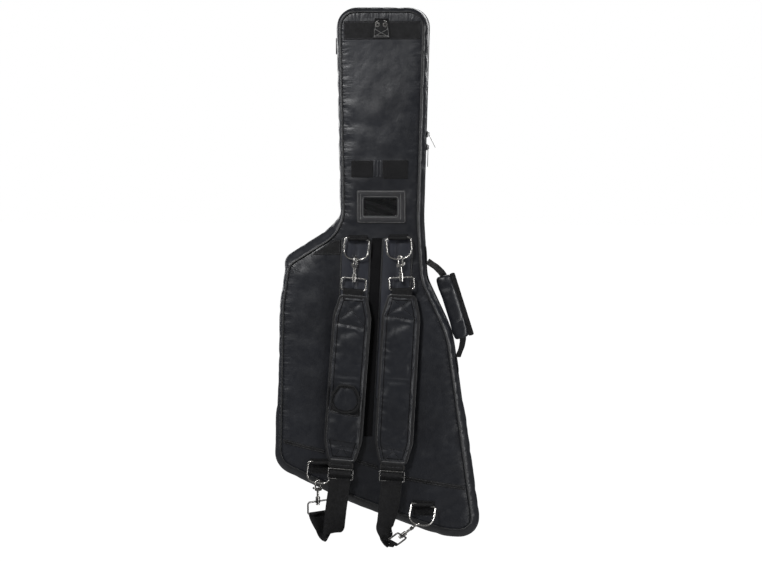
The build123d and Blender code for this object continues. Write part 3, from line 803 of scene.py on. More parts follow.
def crown_room(flat, gap):
    """How far the back panel may swell: little under the straps and at the stitched top."""
    x, z = flat[:, 0], flat[:, 1]
    low, high = span("landing_strips")
    beside = smooth(np.maximum(low[0] - x, x - high[0]), -8, 40)
    above = smooth(z, high[2] + 10, high[2] + 60)
    straps = np.maximum(beside, above)
    top = 1 - smooth(z, TOP_Z - 240, TOP_Z - 70)
    middle = sum(span("card_frame")) / 2
    card = np.maximum(smooth(np.abs(x - middle[0]), 40, 75), smooth(np.abs(z - middle[2]), 30, 70))
    room = 0.15 + 0.5 * top + 5.0 * straps * (0.02 + 0.98 * top) * (0.35 + 0.65 * card)
    return room * rise(gap, 22.0)


def dents(flat):
    """Broad soft unevenness of a padded panel, between about -1 and 1."""
    x, z = flat[:, 0], flat[:, 1]
    waves = [(0.055, 0.02, 0.4), (-0.02, 0.075, 1.9), (0.09, -0.06, 3.1), (0.03, 0.11, 5.0)]
    return sum(np.sin(a * x + b * z + c) for a, b, c in waves) / 2.2


def wall_sag(outline, depth):
    """How much further the wall bulges: at the foot, most where it faces down, and over the left shoulder."""
    facing = outward(outline)[:, 1]
    foot = smooth(-outline[:, 1], FOOT_FROM, FOOT_FROM + 110) * (6.0 + 6.5 * np.maximum(0, -facing))
    shoulder = 11.0 * smooth(facing, 0.1, 0.75) * (outline[:, 0] < 0) * (outline[:, 1] < SHOULDER_TO)
    return (foot + shoulder) * smooth(depth, 3, 22) * (1 - smooth(depth, 40, 64))


def shell_mesh(outline, wall, face_y, way, crown, spacing, sag=None):
    """A swollen panel with its side wall; way is -1 for the back half and 1 for the front."""
    flat, faces = fill(outline, spacing)
    gap, along = distance_to(flat, outline)
    gather = 0.65 * np.exp(-gap / 14.0) * rise(gap, 4.0) * ripple(along, way, (21.0, 33.0, 47.0))
    room = crown(flat, gap)
    shape = room * (0.6 + 0.15 * dents(flat)) + gather * np.minimum(1, room)
    points = [at_y(flat, face_y + way * (shape - SEAM_DIP * np.exp(-gap / 5.0)))]
    cloth = [np.stack([flat[:, 0], flat[:, 1], 0 * gap], 1)]
    seam = [np.stack([along, gap, gap], 1)]
    far = lengths(outline, True)[: len(outline)]
    depth_before, grow_before, run = 0.0, 0.0, 0.0
    for grow, depth in wall:
        run += math.hypot(grow - grow_before, depth - depth_before)
        grow_before, depth_before = grow, depth
        crease = 0.5 * math.sin(math.pi * min(1, depth / wall[-1][1])) * ripple(far + depth * 0.7, 2.0)
        bulge = grow + crease + (sag(outline, depth) if sag else 0.0)
        ring = outline + outward(outline) * bulge[:, None]
        points.append(at_y(ring, face_y - way * depth))
        cloth.append(np.stack([far, 0 * far + run, 0 * far], 1))
    seam += cloth[1:]
    faces = wall_faces(faces, len(flat), len(outline), len(wall))
    return mesh_of(np.vstack(points), faces, np.vstack(cloth), np.vstack(seam))


def shell_pins(mesh, outline, wall):
    """The cloth is held at the piped seam and at the zip."""
    count, edge = len(mesh[0]), len(outline)
    first = count - len(wall) * edge
    pins = np.zeros(count)
    pins[:edge] = 1
    pins[count - edge :] = 1
    pins[count - 2 * edge : count - edge] = 0.8
    pins[first : first + edge] = 0.6
    return pins


def swollen_shell(wall, face_y, way, crown, sag=None):
    mesh = shell_mesh(OUTLINE, wall, face_y, way, crown, 8.0, sag)
    panel = len(mesh[0]) - len(wall) * len(OUTLINE)
    cap = np.full(len(mesh[0]), WALL_CAP)
    flat = mesh[0][:panel][:, [0, 2]]
    cap[:panel] = 0.1 + 0.65 * crown(flat, mesh[3][:panel, 1])
    return simulate(mesh, shell_pins(mesh, OUTLINE, wall), pressure=3.0, shrink=-0.015, cap=cap)


back_shell = swollen_shell(BACK_WALL, BACK_Y, -1, crown_room, wall_sag)
front_shell = swollen_shell(FRONT_WALL, FRONT_Y, 1, dome(5.0, 30.0))
for half, shell, body_name in (("body", back_shell, "bag"), ("lid", front_shell, "lid")):
    stands_for = f"{half}_cloth {half}_panel_foam {half}_wall_foam"
    piece(f"{half}_shell", shell, NYLON, body_name, stands_for, subdivide=1, thick=SHELL_THICK)
back_tree = BVHTree.FromPolygons(back_shell[0].tolist(), back_shell[1])


def surface_y(tree, flat, start, way, missing):
    """Y where rays along Y * way from `start` meet a surface, at (x, z) points."""
    hits = [tree.ray_cast(Vector((x, start, z)), Vector((0, way, 0)), 90)[0] for x, z in flat]
    return np.array([missing if hit is None else hit.y for hit in hits])


def on_cloth(flat):
    """Y of the swollen back panel at (x, z) points."""
    return surface_y(back_tree, flat, BACK_Y - 60, 1, BACK_Y)


def under_cloth(flat, gap):
    """Back of a piece that sinks a little into the back panel."""
    return on_cloth(flat) + 0.3


def ring_at(grow, y):
    return at_y(grown(OUTLINE, grow), y)


def lining(half, wall_y, floor_y, way, body):
    """Plush tray inside one half; its lip covers the foam at the zip."""
    from_floor = [(-6.0, 0.0), (-2.6, 1.2), (-0.4, 4.0), (0.3, 12.0)]
    from_wall = [(0.3, 4.0), (0.6, 1.2), (2.2, 0.3), (6.6, 0.5)]
    rings = [(grow, floor_y - way * up) for grow, up in from_floor]
    rings += [(grow, wall_y + way * down) for grow, down in from_wall]
    loop = grown(OUTLINE, rings[0][0])
    flat, faces = fill(loop, 14.0)
    gap = distance_to(flat, loop)[0]
    quilt = 1.4 * rise(gap, 20.0) * (1 + 0.25 * ripple(flat[:, 1] * 0.2 + flat[:, 0] * 0.13))
    points = [at_y(flat, floor_y - way * quilt * 0.6)] + [ring_at(grow, y) for grow, y in rings[1:]]
    mesh = mesh_of(np.vstack(points), wall_faces(faces, len(flat), len(loop), len(rings) - 1))
    piece(f"{half}_lining_tray", mesh, PLUSH, body, f"{half}_lining", subdivide=1, thick=1.0)


lining("body", ZIP_Y - 0.4, BACK_Y + 13.6, -1, "bag")
lining("lid", ZIP_Y + 1.5, FRONT_Y - 13.6, 1, "lid")


# ---------------------------------------------------------------- piping, zip and hinge cloth


def piping(half, y, body):
    radius = 1.8 + 0.12 * ripple(OUTLINE_LENGTH, 0.5)
    cord = tube(ring_at(0.0, y), radius, sides=10, closed=True)
    piece(f"{half}_piping_cord", cord, PIPING, body, f"{half}_piping", subdivide=1)


piping("body", BACK_Y - 1.6, "bag")
piping("lid", FRONT_Y + 1.6, "lid")

HINGE, HINGE_AXIS = joint("lid_hinge")
HINGE_UP = np.array([-HINGE_AXIS[2], 0, HINGE_AXIS[0]])
HINGE_UP = HINGE_UP * math.copysign(1, HINGE_UP[2])
HINGE_HALF = 112.0  # half the length of the hinge cloth
ZIP_LIFT = 26.0  # the zip stops this far above the hinge line
ZIP_MIDDLE = ZIP_Y + 0.5


def above_hinge(points):
    return (points - HINGE) @ HINGE_UP


def open_run(points, keep):
    """The kept stretch of a closed row of points, in order."""
    start = next(i for i in range(len(points)) if keep[i] and not keep[i - 1])
    order = [(start + i) % len(points) for i in range(len(points))]
    return np.array([points[i] for i in order if keep[i]])


def main_zip(half, body, way):
    """One side of the main zip: its tape and every second tooth of the coil."""
    tape = ring_at(10.3, ZIP_MIDDLE + way * 5.6)
    keep = above_hinge(tape) > ZIP_LIFT
    coil = open_run(ring_at(11.0, ZIP_MIDDLE + way * 0.7), keep)
    coil = resample(coil, 1.35)[(0 if way < 0 else 1) :: 2]
    out = np.cross(tangents(coil), DEEP)
    out *= np.sign(np.sum(out * (coil - coil.mean(0)), axis=1))[:, None]
    band = ribbon(open_run(tape, keep), DEEP, 9.4, 0.8, cells=3)
    piece(f"{half}_zip_tape", band, ZIP_TAPE, body, f"main_zip_{half}_side")
    piece(f"{half}_zip_tape_coil", beads(coil, DEEP, out, 3.4, 0.75), ZIP_COIL, body)


main_zip("body", "bag", -1)
main_zip("lid", "lid", 1)


def hinge_cloth():
    """Cloth that joins body and lid under the bottom edge."""
    loop = ring_at(9.9, ZIP_MIDDLE)
    sideways = np.abs((loop - HINGE) @ HINGE_AXIS)
    run = open_run(loop, (sideways < HINGE_HALF) & (above_hinge(loop) < 60))
    section = [(w, 0.5) for w in np.linspace(11, -11, 15)] + [(w, -0.3) for w in np.linspace(-11, 11, 15)]
    cloth = piece("hinge_cloth", sweep(run, DEEP, section), NYLON, None, "hinge_strip")
    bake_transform(cloth)


hinge_cloth()


# ---------------------------------------------------------------- trim sewn on the back panel


def sewn_on(loop, lift, thick, spacing=7.0, puff=0.0, rim=0.4):
    """A flat piece laid on the back panel, `lift` above it; puff swells its middle."""

    def bottom(flat, gap):
        return on_cloth(flat) - lift + 0.3

    def top(flat, gap):
        return on_cloth(flat) - lift - thick - puff * rise(gap, 8.0)

    return layered(densify(loop, spacing), spacing, top, bottom, rim)


def laid(flat, lift):
    """Points of a path on the back panel, `lift` above the cloth."""
    flat = np.asarray(flat, float)
    return at_y(flat, on_cloth(flat) - lift)


def edge_stitches(loop, by, lift, pitch=3.4):
    return stitches(laid(inset(densify(loop, 4.0), by), lift), pitch=pitch, closed=True)


def line_stitches(line, lift, step=2.0, **thread):
    return stitches(laid(resample(line, step), lift), **thread)


def along_band(mesh, loop):
    """The same mesh with the ribs of its weave turned along the band, unless the band is bent or upright."""
    axis = loop[np.argmax(loop[:, 0])] - loop[np.argmin(loop[:, 0])]
    straight = len(loop) < 60 and abs(axis[1]) < abs(axis[0]) * 0.5
    turn = math.atan2(axis[1], axis[0]) if straight else 0.0
    local = mesh[0][:, [0, 2]] - mesh[0].mean(0)[[0, 2]]
    along = local[:, 0] * math.cos(turn) + local[:, 1] * math.sin(turn)
    side = local[:, 1] * math.cos(turn) - local[:, 0] * math.sin(turn)
    return mesh[0], mesh[1], np.stack([along, side, side * 0], 1), mesh[3]


def grab_tab(low, high):
    """Folded tab that stands out of the side wall near the head."""
    x0, x1 = high[0] + 2.0, low[0] + 0.9
    y0, y1 = low[1] + 1, high[1] - 1
    z = (low[2] + high[2]) / 2
    flat = [(x0, y0), (x1 + 1.2, y0 + 2), (x1, (y0 + y1) / 2), (x1 + 1.2, y1 - 2), (x0, y1)]
    path = curve([(x, y, 0) for x, y in flat], 1.5)
    path[:, 2] = z
    return ribbon(path, UP, high[2] - low[2], 1.2)


def webbing_trim():
    """Bands across the panel: across the head, at the left shoulder and along the lower seam."""
    bands, threads = [], []
    for solid in solids("webbing_trim"):
        low, high = extent(corners(solid))
        depth = high[1] - low[1]
        if depth > 10:
            bands.append(grab_tab(low, high))
            continue
        loop = flat_loops(solid)[0]
        bands.append(along_band(sewn_on(loop, 0.1, depth - 0.3), loop))
        threads.append(edge_stitches(loop, 2.2, depth + 0.05))
    piece("webbing_bands", bands, TRIM, "bag", "webbing_trim")
    piece("webbing_band_stitches", threads, THREAD, "bag")


webbing_trim()


def hanger():
    """Stitched tab with two eyelets, a black strip painted as the shade of a slot above it, and the ends of
    its hanging wire.
    """
    loop = outline_of("hanger_tab")
    low, high = span("hanger_tab")
    tab = sewn_on(loop, BACK_Y - high[1], high[1] - low[1] - 0.35, 4.0, rim=0.3)
    centres = [centre_of(corners(solid)) for solid in solids("hanger_eyelets")]
    face = low[1] - 0.05
    left, right, bottom = loop[:, 0].min() + 3.4, loop[:, 0].max() - 3.4, loop[:, 1].min() + 3.2
    top = centres[0][2] - 9.5
    box = [(left + 1.8, top), (left, bottom), (right, bottom), (right - 1.8, top)]
    lines = [box, [box[0], box[2]], [box[3], box[1]]]
    lines.append([(left + 0.6, bottom + 2.6), (right - 0.6, bottom + 2.6)])
    lines.append([(left + 4.4, bottom + 30), (left + 2.4, top)])
    lines.append([(right - 4.4, bottom + 30), (right - 2.4, top)])
    lift = BACK_Y - face + 0.1
    threads = [line_stitches(line, lift, pitch=2.6, length=2.0, radius=0.45) for line in lines]
    piece("hanger_tab_webbing", tab, TRIM, "bag", "hanger_tab")
    piece("hanger_tab_stitches", threads, PALE_THREAD, "bag")
    wires = []
    for x, _, z in centres:
        lean = 2.6 * math.copysign(1, x)
        bends = [(x + lean, face - 1.4, z + 6.0), (x + lean * 0.4, face - 2.2, z + 7.6)]
        wires.append(tube(curve(bends + [(x - lean, face - 0.8, z + 9.6)], 0.8), 1.5))
    piece("hanger_wire_ends", wires, NICKEL, "bag")
    # A near-black strip stands for the slot above the tab: painted shade in its opening.
    slot_z = centres[0][2] + 12.0
    slot = rectangle(-14.0, slot_z - 1.4, 14.0, slot_z + 1.4)
    piece("hanger_slot_painted_shade", sewn_on(slot, 2.2, 1.9, 3.0, rim=0.5), BLACK_MESH_AND_SHADE, "bag")


hanger()


def hook_loop():
    """Two squares of hook tape, one with a lifted corner, and the nylon keeper between them."""
    loops = sorted((flat_loops(s)[0] for s in solids("hook_loop_patches")), key=lambda loop: loop[:, 0].min())
    squares = [sewn_on(loop, 0.1, 1.6, 3.5, puff=0.5) for loop in loops]
    points, *rest = squares[1]
    near = np.exp(-np.linalg.norm(points[:, [0, 2]] - loops[1].max(0), axis=1) / 7.0)
    squares[1] = (points - near[:, None] * np.array([0.0, 4.0, -1.5]), *rest)
    piece("hook_tape_squares", squares, HOOK_TAPE, "bag", "hook_loop_patches", sharp=70)
    left, right = loops[0][:, 0].max() + 0.6, loops[1][:, 0].min() - 0.6
    low, high = loops[0][:, 1].min() + 1, loops[0][:, 1].max() + 1
    keeper = rectangle(left, low, right, high)

    def folded(flat, gap):
        return on_cloth(flat) - 1.2 - 0.9 * np.cos(flat[:, 0] * TAU / 7.0) * rise(gap, 3.0)

    mesh = layered(densify(keeper, 2.0), 1.8, folded, lambda flat, gap: on_cloth(flat) + 0.2, 0.4)
    piece("keeper_strip", mesh, LIT_PAD_NYLON, "bag")


hook_loop()


def even_by_angle(loop, centre, count):
    """The loop's points at even angles round a centre, so that nested loops match."""
    angle = np.arctan2(loop[:, 1] - centre[1], loop[:, 0] - centre[0])
    order = np.argsort(angle)
    angle, loop = angle[order], loop[order]
    angle = np.concatenate([angle[-1:] - TAU, angle, angle[:1] + TAU])
    loop = np.vstack([loop[-1:], loop, loop[:1]])
    at = np.linspace(-math.pi, math.pi, count, endpoint=False)
    return np.stack([np.interp(at, angle, loop[:, 0]), np.interp(at, angle, loop[:, 1])], 1)


def card_window():
    """Vinyl frame with a clear wavy film over a card."""
    outer, hole = (densify(loop, 3.0) for loop in flat_loops(solids("card_frame")[0]))
    centre = hole.mean(0)
    count = 160
    section = [(outer, -0.2), (outer, 1.4), (grown(outer, -1.0), 1.9), (grown(hole, 1.0), 1.9), (hole, 1.3)]
    section.append((grown(hole, 0.2), -0.2))
    rings = [laid(even_by_angle(loop, centre, count), lift) for loop, lift in section]
    mesh = mesh_of(np.vstack(rings), ring_faces(len(rings), count, closed=True))
    piece("card_window_frame", mesh, VINYL, "bag", "card_frame", sharp=40)
    threads = [edge_stitches(outer, 2.6, 2.0, 3.0), edge_stitches(hole, -3.0, 2.0, 3.0)]
    low, high = extent(hole)
    for x in (low[0] - 7.5, high[0] + 8.5):
        line = [(x, low[1] - 8), (x, high[1] + 8)]
        threads.append(line_stitches(line, 2.0, pitch=2.4, length=1.8, radius=0.45))
    piece("card_window_stitches", threads, PALE_THREAD, "bag")
    card = densify(grown(hole, -0.4), 4.0)
    piece("id_card", sewn_on(card, 0.1, 0.5, 6.0, rim=0.2), CARD, "bag", "card")

    def wavy(flat, gap):
        x, z = (flat - centre).T
        wave = 0.5 * np.sin(x * 0.21 + 1.2) + 0.35 * np.sin(z * 0.3 + x * 0.11)
        return on_cloth(flat) - 1.5 - wave * rise(gap, 3.0)

    mesh = layered(densify(grown(hole, 0.6), 2.5), 2.4, wavy, lambda flat, gap: wavy(flat, gap) + 0.3, 0.2)
    piece("card_window_film", mesh, FILM, "bag", "card_cover", sharp=80)


card_window()


def landing_strip(loop):
    """A padded strip with its bound edge, and the stitches in the sewn channel down its middle."""
    bottom, top = loop[:, 1].min(), loop[:, 1].max()
    middle = [(loop[np.abs(loop[:, 1] - z) < 1][:, 0].mean(), z) for z in (top, bottom)]

    def puffed(flat, gap):
        crease = from_line(flat, middle)
        swell = rise(gap, 7.0) * (1 - np.exp(-((crease / 4.5) ** 2)))
        gather = 0.25 * ripple(flat[:, 1], waves=(9.0, 14.0, 23.0)) * np.exp(-crease / 8.0)
        height = 5.2 - 1.6 * smooth(flat[:, 1], top - 120, top - 80)
        return on_cloth(flat) - 1.4 - height * swell - gather

    pad = layered(densify(loop, 6.0), 5.0, puffed, under_cloth, 0.8)
    edge = laid(resample(densify(loop, 4.0), 4.0, closed=True), 1.4)
    section = [(2.0, 0), (1.1, 1.9), (-1.1, 1.9), (-2.0, 0), (-1.1, -1.9), (1.1, -1.9)]
    return pad, sweep(edge, DEEP, section, closed=True), line_stitches(middle, 2.6, 3.0, pitch=3.6)


def landing_strips():
    """Two padded strips behind the straps, and the dark spine between them."""
    strips = [landing_strip(flat_loops(solid)[0]) for solid in solids("landing_strips")]
    pads, bindings, threads = map(list, zip(*strips))
    piece("landing_pads", pads, LIT_LANDING_NYLON, "bag", "landing_strips", subdivide=1, sharp=70)
    piece("landing_pad_binding", bindings, PIPING, "bag", subdivide=1)
    piece("landing_pad_stitches", threads, THREAD, "bag")
    spine = sewn_on(outline_of("spine_channel"), 0.1, 0.7)
    piece("spine_mesh_strip", spine, BLACK_MESH_AND_SHADE, "bag", "spine_channel")


landing_strips()


# ---------------------------------------------------------------- ring tabs

WEB = 50.0  # width of the strap webbing
WEB_T = 1.5  # its thickness
TAB_WIDTH = 44.0  # webbing drawn together inside a D-ring
ROLL_R = 3.2  # from a bar's centre to the webbing looped round it


def wrap_path(before, turn, after):
    """A path in (y, z) that comes in, goes round a bar at the origin and leaves again."""
    angles = np.radians(np.linspace(*turn, 14))
    round_bar = np.stack([-ROLL_R * np.cos(angles), ROLL_R * np.sin(angles)], 1)
    return np.vstack([before, round_bar, after])


def local_ribbon(place, path, width, spacing=2.0):
    """A band of webbing whose path is given as local (y, z), lying across local X."""
    y, z = curve(path, spacing).T
    return ribbon(place.at(np.stack([0 * y, y, z], 1)), place.axes[0], width, WEB_T)


def box_stitches(place, x, z0, z1, y):
    """A stitched box with crossed diagonals on a local plane facing -Y."""
    box = [(-x, z0), (x, z0), (x, z1), (-x, z1), (-x, z0)]
    lines = [box, [box[0], box[2]], [box[1], box[3]]]
    return [stitches(place.at(at_y(resample(line, 2.0), y))) for line in lines]


def ring_tabs():
    """Webbing loops that hold the four D-rings; the lower two are sewn down with a box."""
    bands, threads = [], []
    for side in SIDES:
        bar, axis = joint(f"{side}_strap_swing")
        reach = BACK_Y - bar[1]
        before = [(reach + 1, -1.0), (reach - 4, -3.4), (3.0, -3.4)]
        after = [(3.0, 3.6), (reach - 4, 4.4), (reach + 1, 8.0)]
        path = wrap_path(before, (-120, 120), after)[::-1]
        bands.append(local_ribbon(Place(bar, -axis, UP), path, TAB_WIDTH))
    for side in SIDES:
        bar, axis = joint(f"{side}_lower_ring_swing")
        place = Place(bar, -axis, UP)
        reach = BACK_Y - bar[1]
        before = [(reach - 1.0, -24.0), (reach - 1.4, -10.0), (reach - 3.5, -4.2)]
        after = [(3.4, 3.4), (reach - 3, 3.6), (reach - 0.6, 7.0)]
        bands.append(local_ribbon(place, wrap_path(before, (-130, 110), after), TAB_WIDTH))
        patch = place.at(at_y(rectangle(-WEB / 2, -25.0, WEB / 2, 9.0), 0.0))
        bands.append(sewn_on(patch[:, [0, 2]], 0.1, 1.4, 5.0))
        threads += box_stitches(place, 20.0, -22.0, -8.0, reach - 2.0)
    piece("ring_tab_webbing", bands, WEBBING, "bag", "ring_tabs")
    piece("ring_tab_stitches", threads, THREAD, "bag")


ring_tabs()


# ---------------------------------------------------------------- shoulder pads

# Seams of each pad as lines of local (x, z) ends, worked from the pad's top and bottom.
TOP_SEAM = {"left": ((-38, -59), (38, -69)), "right": ((-38, -46), (38, -51))}
LOW_SEAM = {"left": ((-38, 36), (38, 29)), "right": ((-38, 30), (38, 28))}
PAD_EDGE = 2.4  # half the thickness of a pad at its bound edge


def strap_place(side):
    """Local place of a pad: origin at its top centre, local Z up the strap."""
    loop = resample(outline_of(f"{side}_pad"), 3.0, closed=True)
    centre = loop.mean(0)
    spread = np.linalg.svd(loop - centre, full_matrices=False)[2][0]
    up = spread * math.copysign(1, spread[1])
    top = centre + up * ((loop - centre) @ up).max()
    middle_y = sum(span(f"{side}_pad"))[1] / 2
    return Place((top[0], middle_y, top[1]), (1, 0, 0), (up[0], 0, up[1]))


def pad_lines(side, length):
    """The pad's seams, the crossed lines at its two ends, and its other rows of stitches."""
    (ax, az), (bx, bz) = TOP_SEAM[side]
    (cx, cz), (dx, dz) = LOW_SEAM[side]
    cz, dz = cz - length, dz - length
    end = 5 - length
    cross = [[(-23, -5), (bx - 6, bz + 3)], [(23, -5), (ax + 6, az + 3)]]
    peak = [[(0, (cz + dz) / 2 - 3), (-19, end)], [(0, (cz + dz) / 2 - 3), (19, end)]]
    ends = [[(-22, -4), (22, -4)], [(-22, end - 1), (22, end - 1)]]
    seams = [[(ax, az), (bx, bz)], [(cx, cz), (dx, dz)]]
    doubles = [[(cx, cz - 7), (dx, dz - 7)]] if side == "left" else []
    return seams, cross + peak, ends + doubles


def pad_mesh(side, loop):
    """A padded strap, puffed between its bound edge and its seams; gives its seams as well."""
    length = -loop[:, 1].min()
    low, high = span(f"{side}_pad")
    puff = (high[1] - low[1]) / 2 - 0.9 - PAD_EDGE
    seams, crosses, _ = pad_lines(side, length)

    def swell(flat, gap):
        value = rise(gap, 9.0)
        for lines, width, depth in ((seams, 4.5, 0.8), (crosses, 4.0, 0.55)):
            for line in lines:
                value = value * (1 - depth * np.exp(-((from_line(flat, line) / width) ** 2)))
        ends = np.minimum(-flat[:, 1], flat[:, 1] + length)
        return value * (1 - 0.55 * np.exp(-np.maximum(ends, 0) / 36.0))

    def top(flat, gap):
        return -PAD_EDGE - puff * swell(flat, gap)

    def bottom(flat, gap):
        return PAD_EDGE + 0.8 * puff * swell(flat, gap)

    mesh = layered(loop, 5.0, top, bottom, rim=1.0)
    flat = mesh[0][:, [0, 2]]
    pins = np.where(mesh[3][:, 1] < 3.0, 1.0, 0.0)
    for line in seams:
        pins[from_line(flat, line) < 3.2] = 1.0
    for line in crosses:
        near = from_line(flat, line) < 3.0
        pins[near] = np.maximum(pins[near], 0.9)
    return simulate(mesh, pins, pressure=3.0, shrink=-0.02, cap=1.6), seams


def edge_binding(loop):
    """Tape folded over the edge of a pad."""
    half, tape, width = 2.6, 0.9, 6.0
    out = half + tape
    section = [(-out, -width), (-out - 0.2, -1.0), (-half * 0.6, 1.6), (0, 2.1), (half * 0.6, 1.6)]
    section += [(out + 0.2, -1.0), (out, -width)] + mirrored([(half, -width), (half, 0.2)])
    return sweep(at_y(loop, 0.0), DEEP, section, closed=True)


def shoulder_pad(side):
    """One pad with its binding, stitches, and black cords painted as the shade in its sewn channels; gives
    its place, its length and its surface.
    """
    place = strap_place(side)
    body = f"{side}_strap"
    loop = resample(place.local_outline(f"{side}_pad"), 5.0, closed=True)
    mesh, seams = pad_mesh(side, grown(loop, -1.2))
    length = -loop[:, 1].min()
    cushion = piece(f"{side}_pad_cushion", mesh, LIT_PAD_NYLON, body, f"{side}_pad", place, subdivide=1, sharp=80)
    skin = place.local(np.array([v.co for v in cushion.data.vertices]) / MM)
    tree = BVHTree.FromPolygons(skin.tolist(), [list(p.vertices) for p in cushion.data.polygons])

    def on_pad(path, lift=0.1):
        path = np.asarray(path, float)
        return at_y(path, surface_y(tree, path, -40, 1, -3.3) - lift)

    binding = edge_binding(grown(loop, -2.0))
    piece(f"{side}_pad_binding", binding, BINDING, body, place=place, subdivide=1, sharp=80)
    _, crosses, extra = pad_lines(side, length)
    rim = inset(loop, 6.6)
    rows = [stitches(at_y(rim, way * 3.75), (0, way, 0), closed=True) for way in (-1, 1)]
    for line in seams + crosses + extra:
        rows.append(stitches(on_pad(resample(line, 2.5), 0.15), pitch=3.8, length=2.5, radius=0.5))
    piece(f"{side}_pad_stitches", rows, THREAD, body, place=place)
    # Thin black cords along the channels and seams: painted shade in the sewn grooves.
    cords = [tube(on_pad(inset(loop, 9.0)), 1.0, sides=6, closed=True)]
    cords += [tube(on_pad(resample(line, 2.5), -0.35), 0.95, sides=6) for line in seams + crosses]
    piece(f"{side}_pad_channel_painted_shade", cords, BLACK_MESH_AND_SHADE, body, place=place, subdivide=1)
    return place, length, on_pad


# ---------------------------------------------------------------- strap webbing

GLIDE_BAR = 2.9  # webbing's distance from a bar's centre
BASE_RING = 27.0  # height of a base ring between wire centres


def ring_bar(side, level):
    """Centre and direction of the lower bar of a base ring, and the way from the bar to its boss."""
    boss, axis = joint(f"{side}_{level}_swivel")
    points = node_points(f"{side}_{level}_base_ring")
    points = points - points.mean(0)
    points = points - np.outer(points @ axis, axis)
    wide = np.linalg.svd(points, full_matrices=False)[2][0]
    return boss - axis * BASE_RING, wide * math.copysign(1, wide[0]), axis


def glide_centre(side, place):
    """Local centre of the tri-glide, the taller solid of the adjuster."""
    boxes = [extent(place.local(corners(solid))) for solid in solids(f"{side}_adjuster")]
    low, high = max(boxes, key=lambda box: box[1][2] - box[0][2])
    return (low + high) / 2


def strap_webbing(side, place, length):
    """Webbing at the top ring, the keeper of the end loop, and the adjusting band through the tri-glide."""
    bar, wide, axis = ring_bar(side, "upper")
    path = wrap_path([(2.0, -22.0), (2.6, -8.0)], (180, 0), [(-2.6, -8.0), (-2.0, -22.0)])
    bands = [local_ribbon(Place(bar, wide, axis), path, WEB - 5, 1.6)]
    _, y, z = glide_centre(side, place)
    keeper = [(0.8, 11 - length), (-0.6, 2 - length), (-3.4, -5 - length), (-5.0, -15 - length)]
    keeper += [(-3.4, -17.6 - length), (-1.4, -15.5 - length), (-0.6, -6 - length), (-0.5, 8 - length)]
    bands.append(local_ribbon(place, keeper, WEB - 1, 1.6))
    end = (y - 1.6, z - 24.0)
    band = [(0.4, 4 - length), (0.4, -14 - length), (y + 1.8, z + 13.5), (y + 2.6, z + 10.0)]
    band += [(y - 0.6, z + 4.5), (y - GLIDE_BAR, z), (y - 0.6, z - 4.5)]
    band += [(y + 2.4, z - 10.5), (y - 0.4, z - 15.0), end]
    bands.append(local_ribbon(place, band, WEB - 1.5, 1.8))
    piece(f"{side}_strap_bands", bands, WEBBING, f"{side}_strap", f"{side}_webbing")
    row = resample([(-22.0, -10.0 - length), (22.0, -10.0 - length)], 2.5)
    piece(f"{side}_band_stitches", stitches(place.at(at_y(row, -5.5))), THREAD, f"{side}_strap")
    return place.at((0, *end))


# Offsets in mm from the tail's top down to its turn, and from the turn to the ring it is looped on.
TAIL_DOWN = {
    "left": [(-3, -3, -22), (-7, -5, -52), (-10, -5, -78), (-13, -2, -100)],
    "right": [(-2, -4, -22), (-6, -9, -52), (-11, -12, -76), (-14, -12, -92)],
}
TAIL_TURN = {"left": (-22, 6, -113), "right": (-10, -12, -108)}
# Direction across the band, from its top to its turn.
TAIL_ACROSS = {
    "left": [(1, 0, -0.08), (1, 0.02, -0.04), (0.98, 0.05, 0.08), (0.93, 0.1, 0.25), (0.88, 0.2, 0.36)],
    "right": [(1, 0, -0.06), (0.98, 0.1, -0.05), (0.9, 0.35, -0.12), (0.72, 0.6, -0.3), (0.55, 0.65, -0.5)],
}


def mixed(values, count):
    """Evenly mixes a few directions over `count` points."""
    values = np.asarray(values, float)
    at = np.linspace(0, len(values) - 1, count)
    return np.stack([np.interp(at, range(len(values)), values[:, k]) for k in range(3)], 1)


def tail(side, start):
    """The hanging end of the adjusting webbing: down from the tri-glide, round, and up to the lower ring."""
    bar, wide, axis = ring_bar(side, "lower")
    down = [start + (0, 0, 14.0), start] + [start + np.array(step, float) for step in TAIL_DOWN[side]]
    turn = start + np.array(TAIL_TURN[side], float)
    toward = bar - axis * 9.0
    angles = np.radians(np.linspace(-90, 150, 9))
    round_bar = np.stack([0 * angles, -ROLL_R * np.sin(angles), ROLL_R * np.cos(angles)], 1)
    back = [turn, (turn + toward) / 2 + (0, 0, -6.0), toward]
    path = curve(np.vstack([down, back, Place(bar, wide, axis).at(round_bar)]), 3.0)
    split = int(np.argmin(np.linalg.norm(path - turn, axis=1)))
    front_across = mixed(TAIL_ACROSS[side], split + 1)
    rear_across = mixed([TAIL_ACROSS[side][-1], wide, wide, wide], len(path) - split - 1)
    front = piece(f"{side}_tail_front", ribbon(path[: split + 1], front_across, WEB - 2, WEB_T), WEBBING)
    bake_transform(front)
    rear_across = np.vstack([front_across[-1:], rear_across])
    rear = piece(f"{side}_tail_rear", ribbon(path[split:], rear_across, WEB - 4, WEB_T), WEBBING)
    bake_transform(rear)


pads = {}
for strap_side in SIDES:
    pads[strap_side] = shoulder_pad(strap_side)
    tail(strap_side, strap_webbing(strap_side, *pads[strap_side][:2]))


# ---------------------------------------------------------------- pocket and flap on the left pad


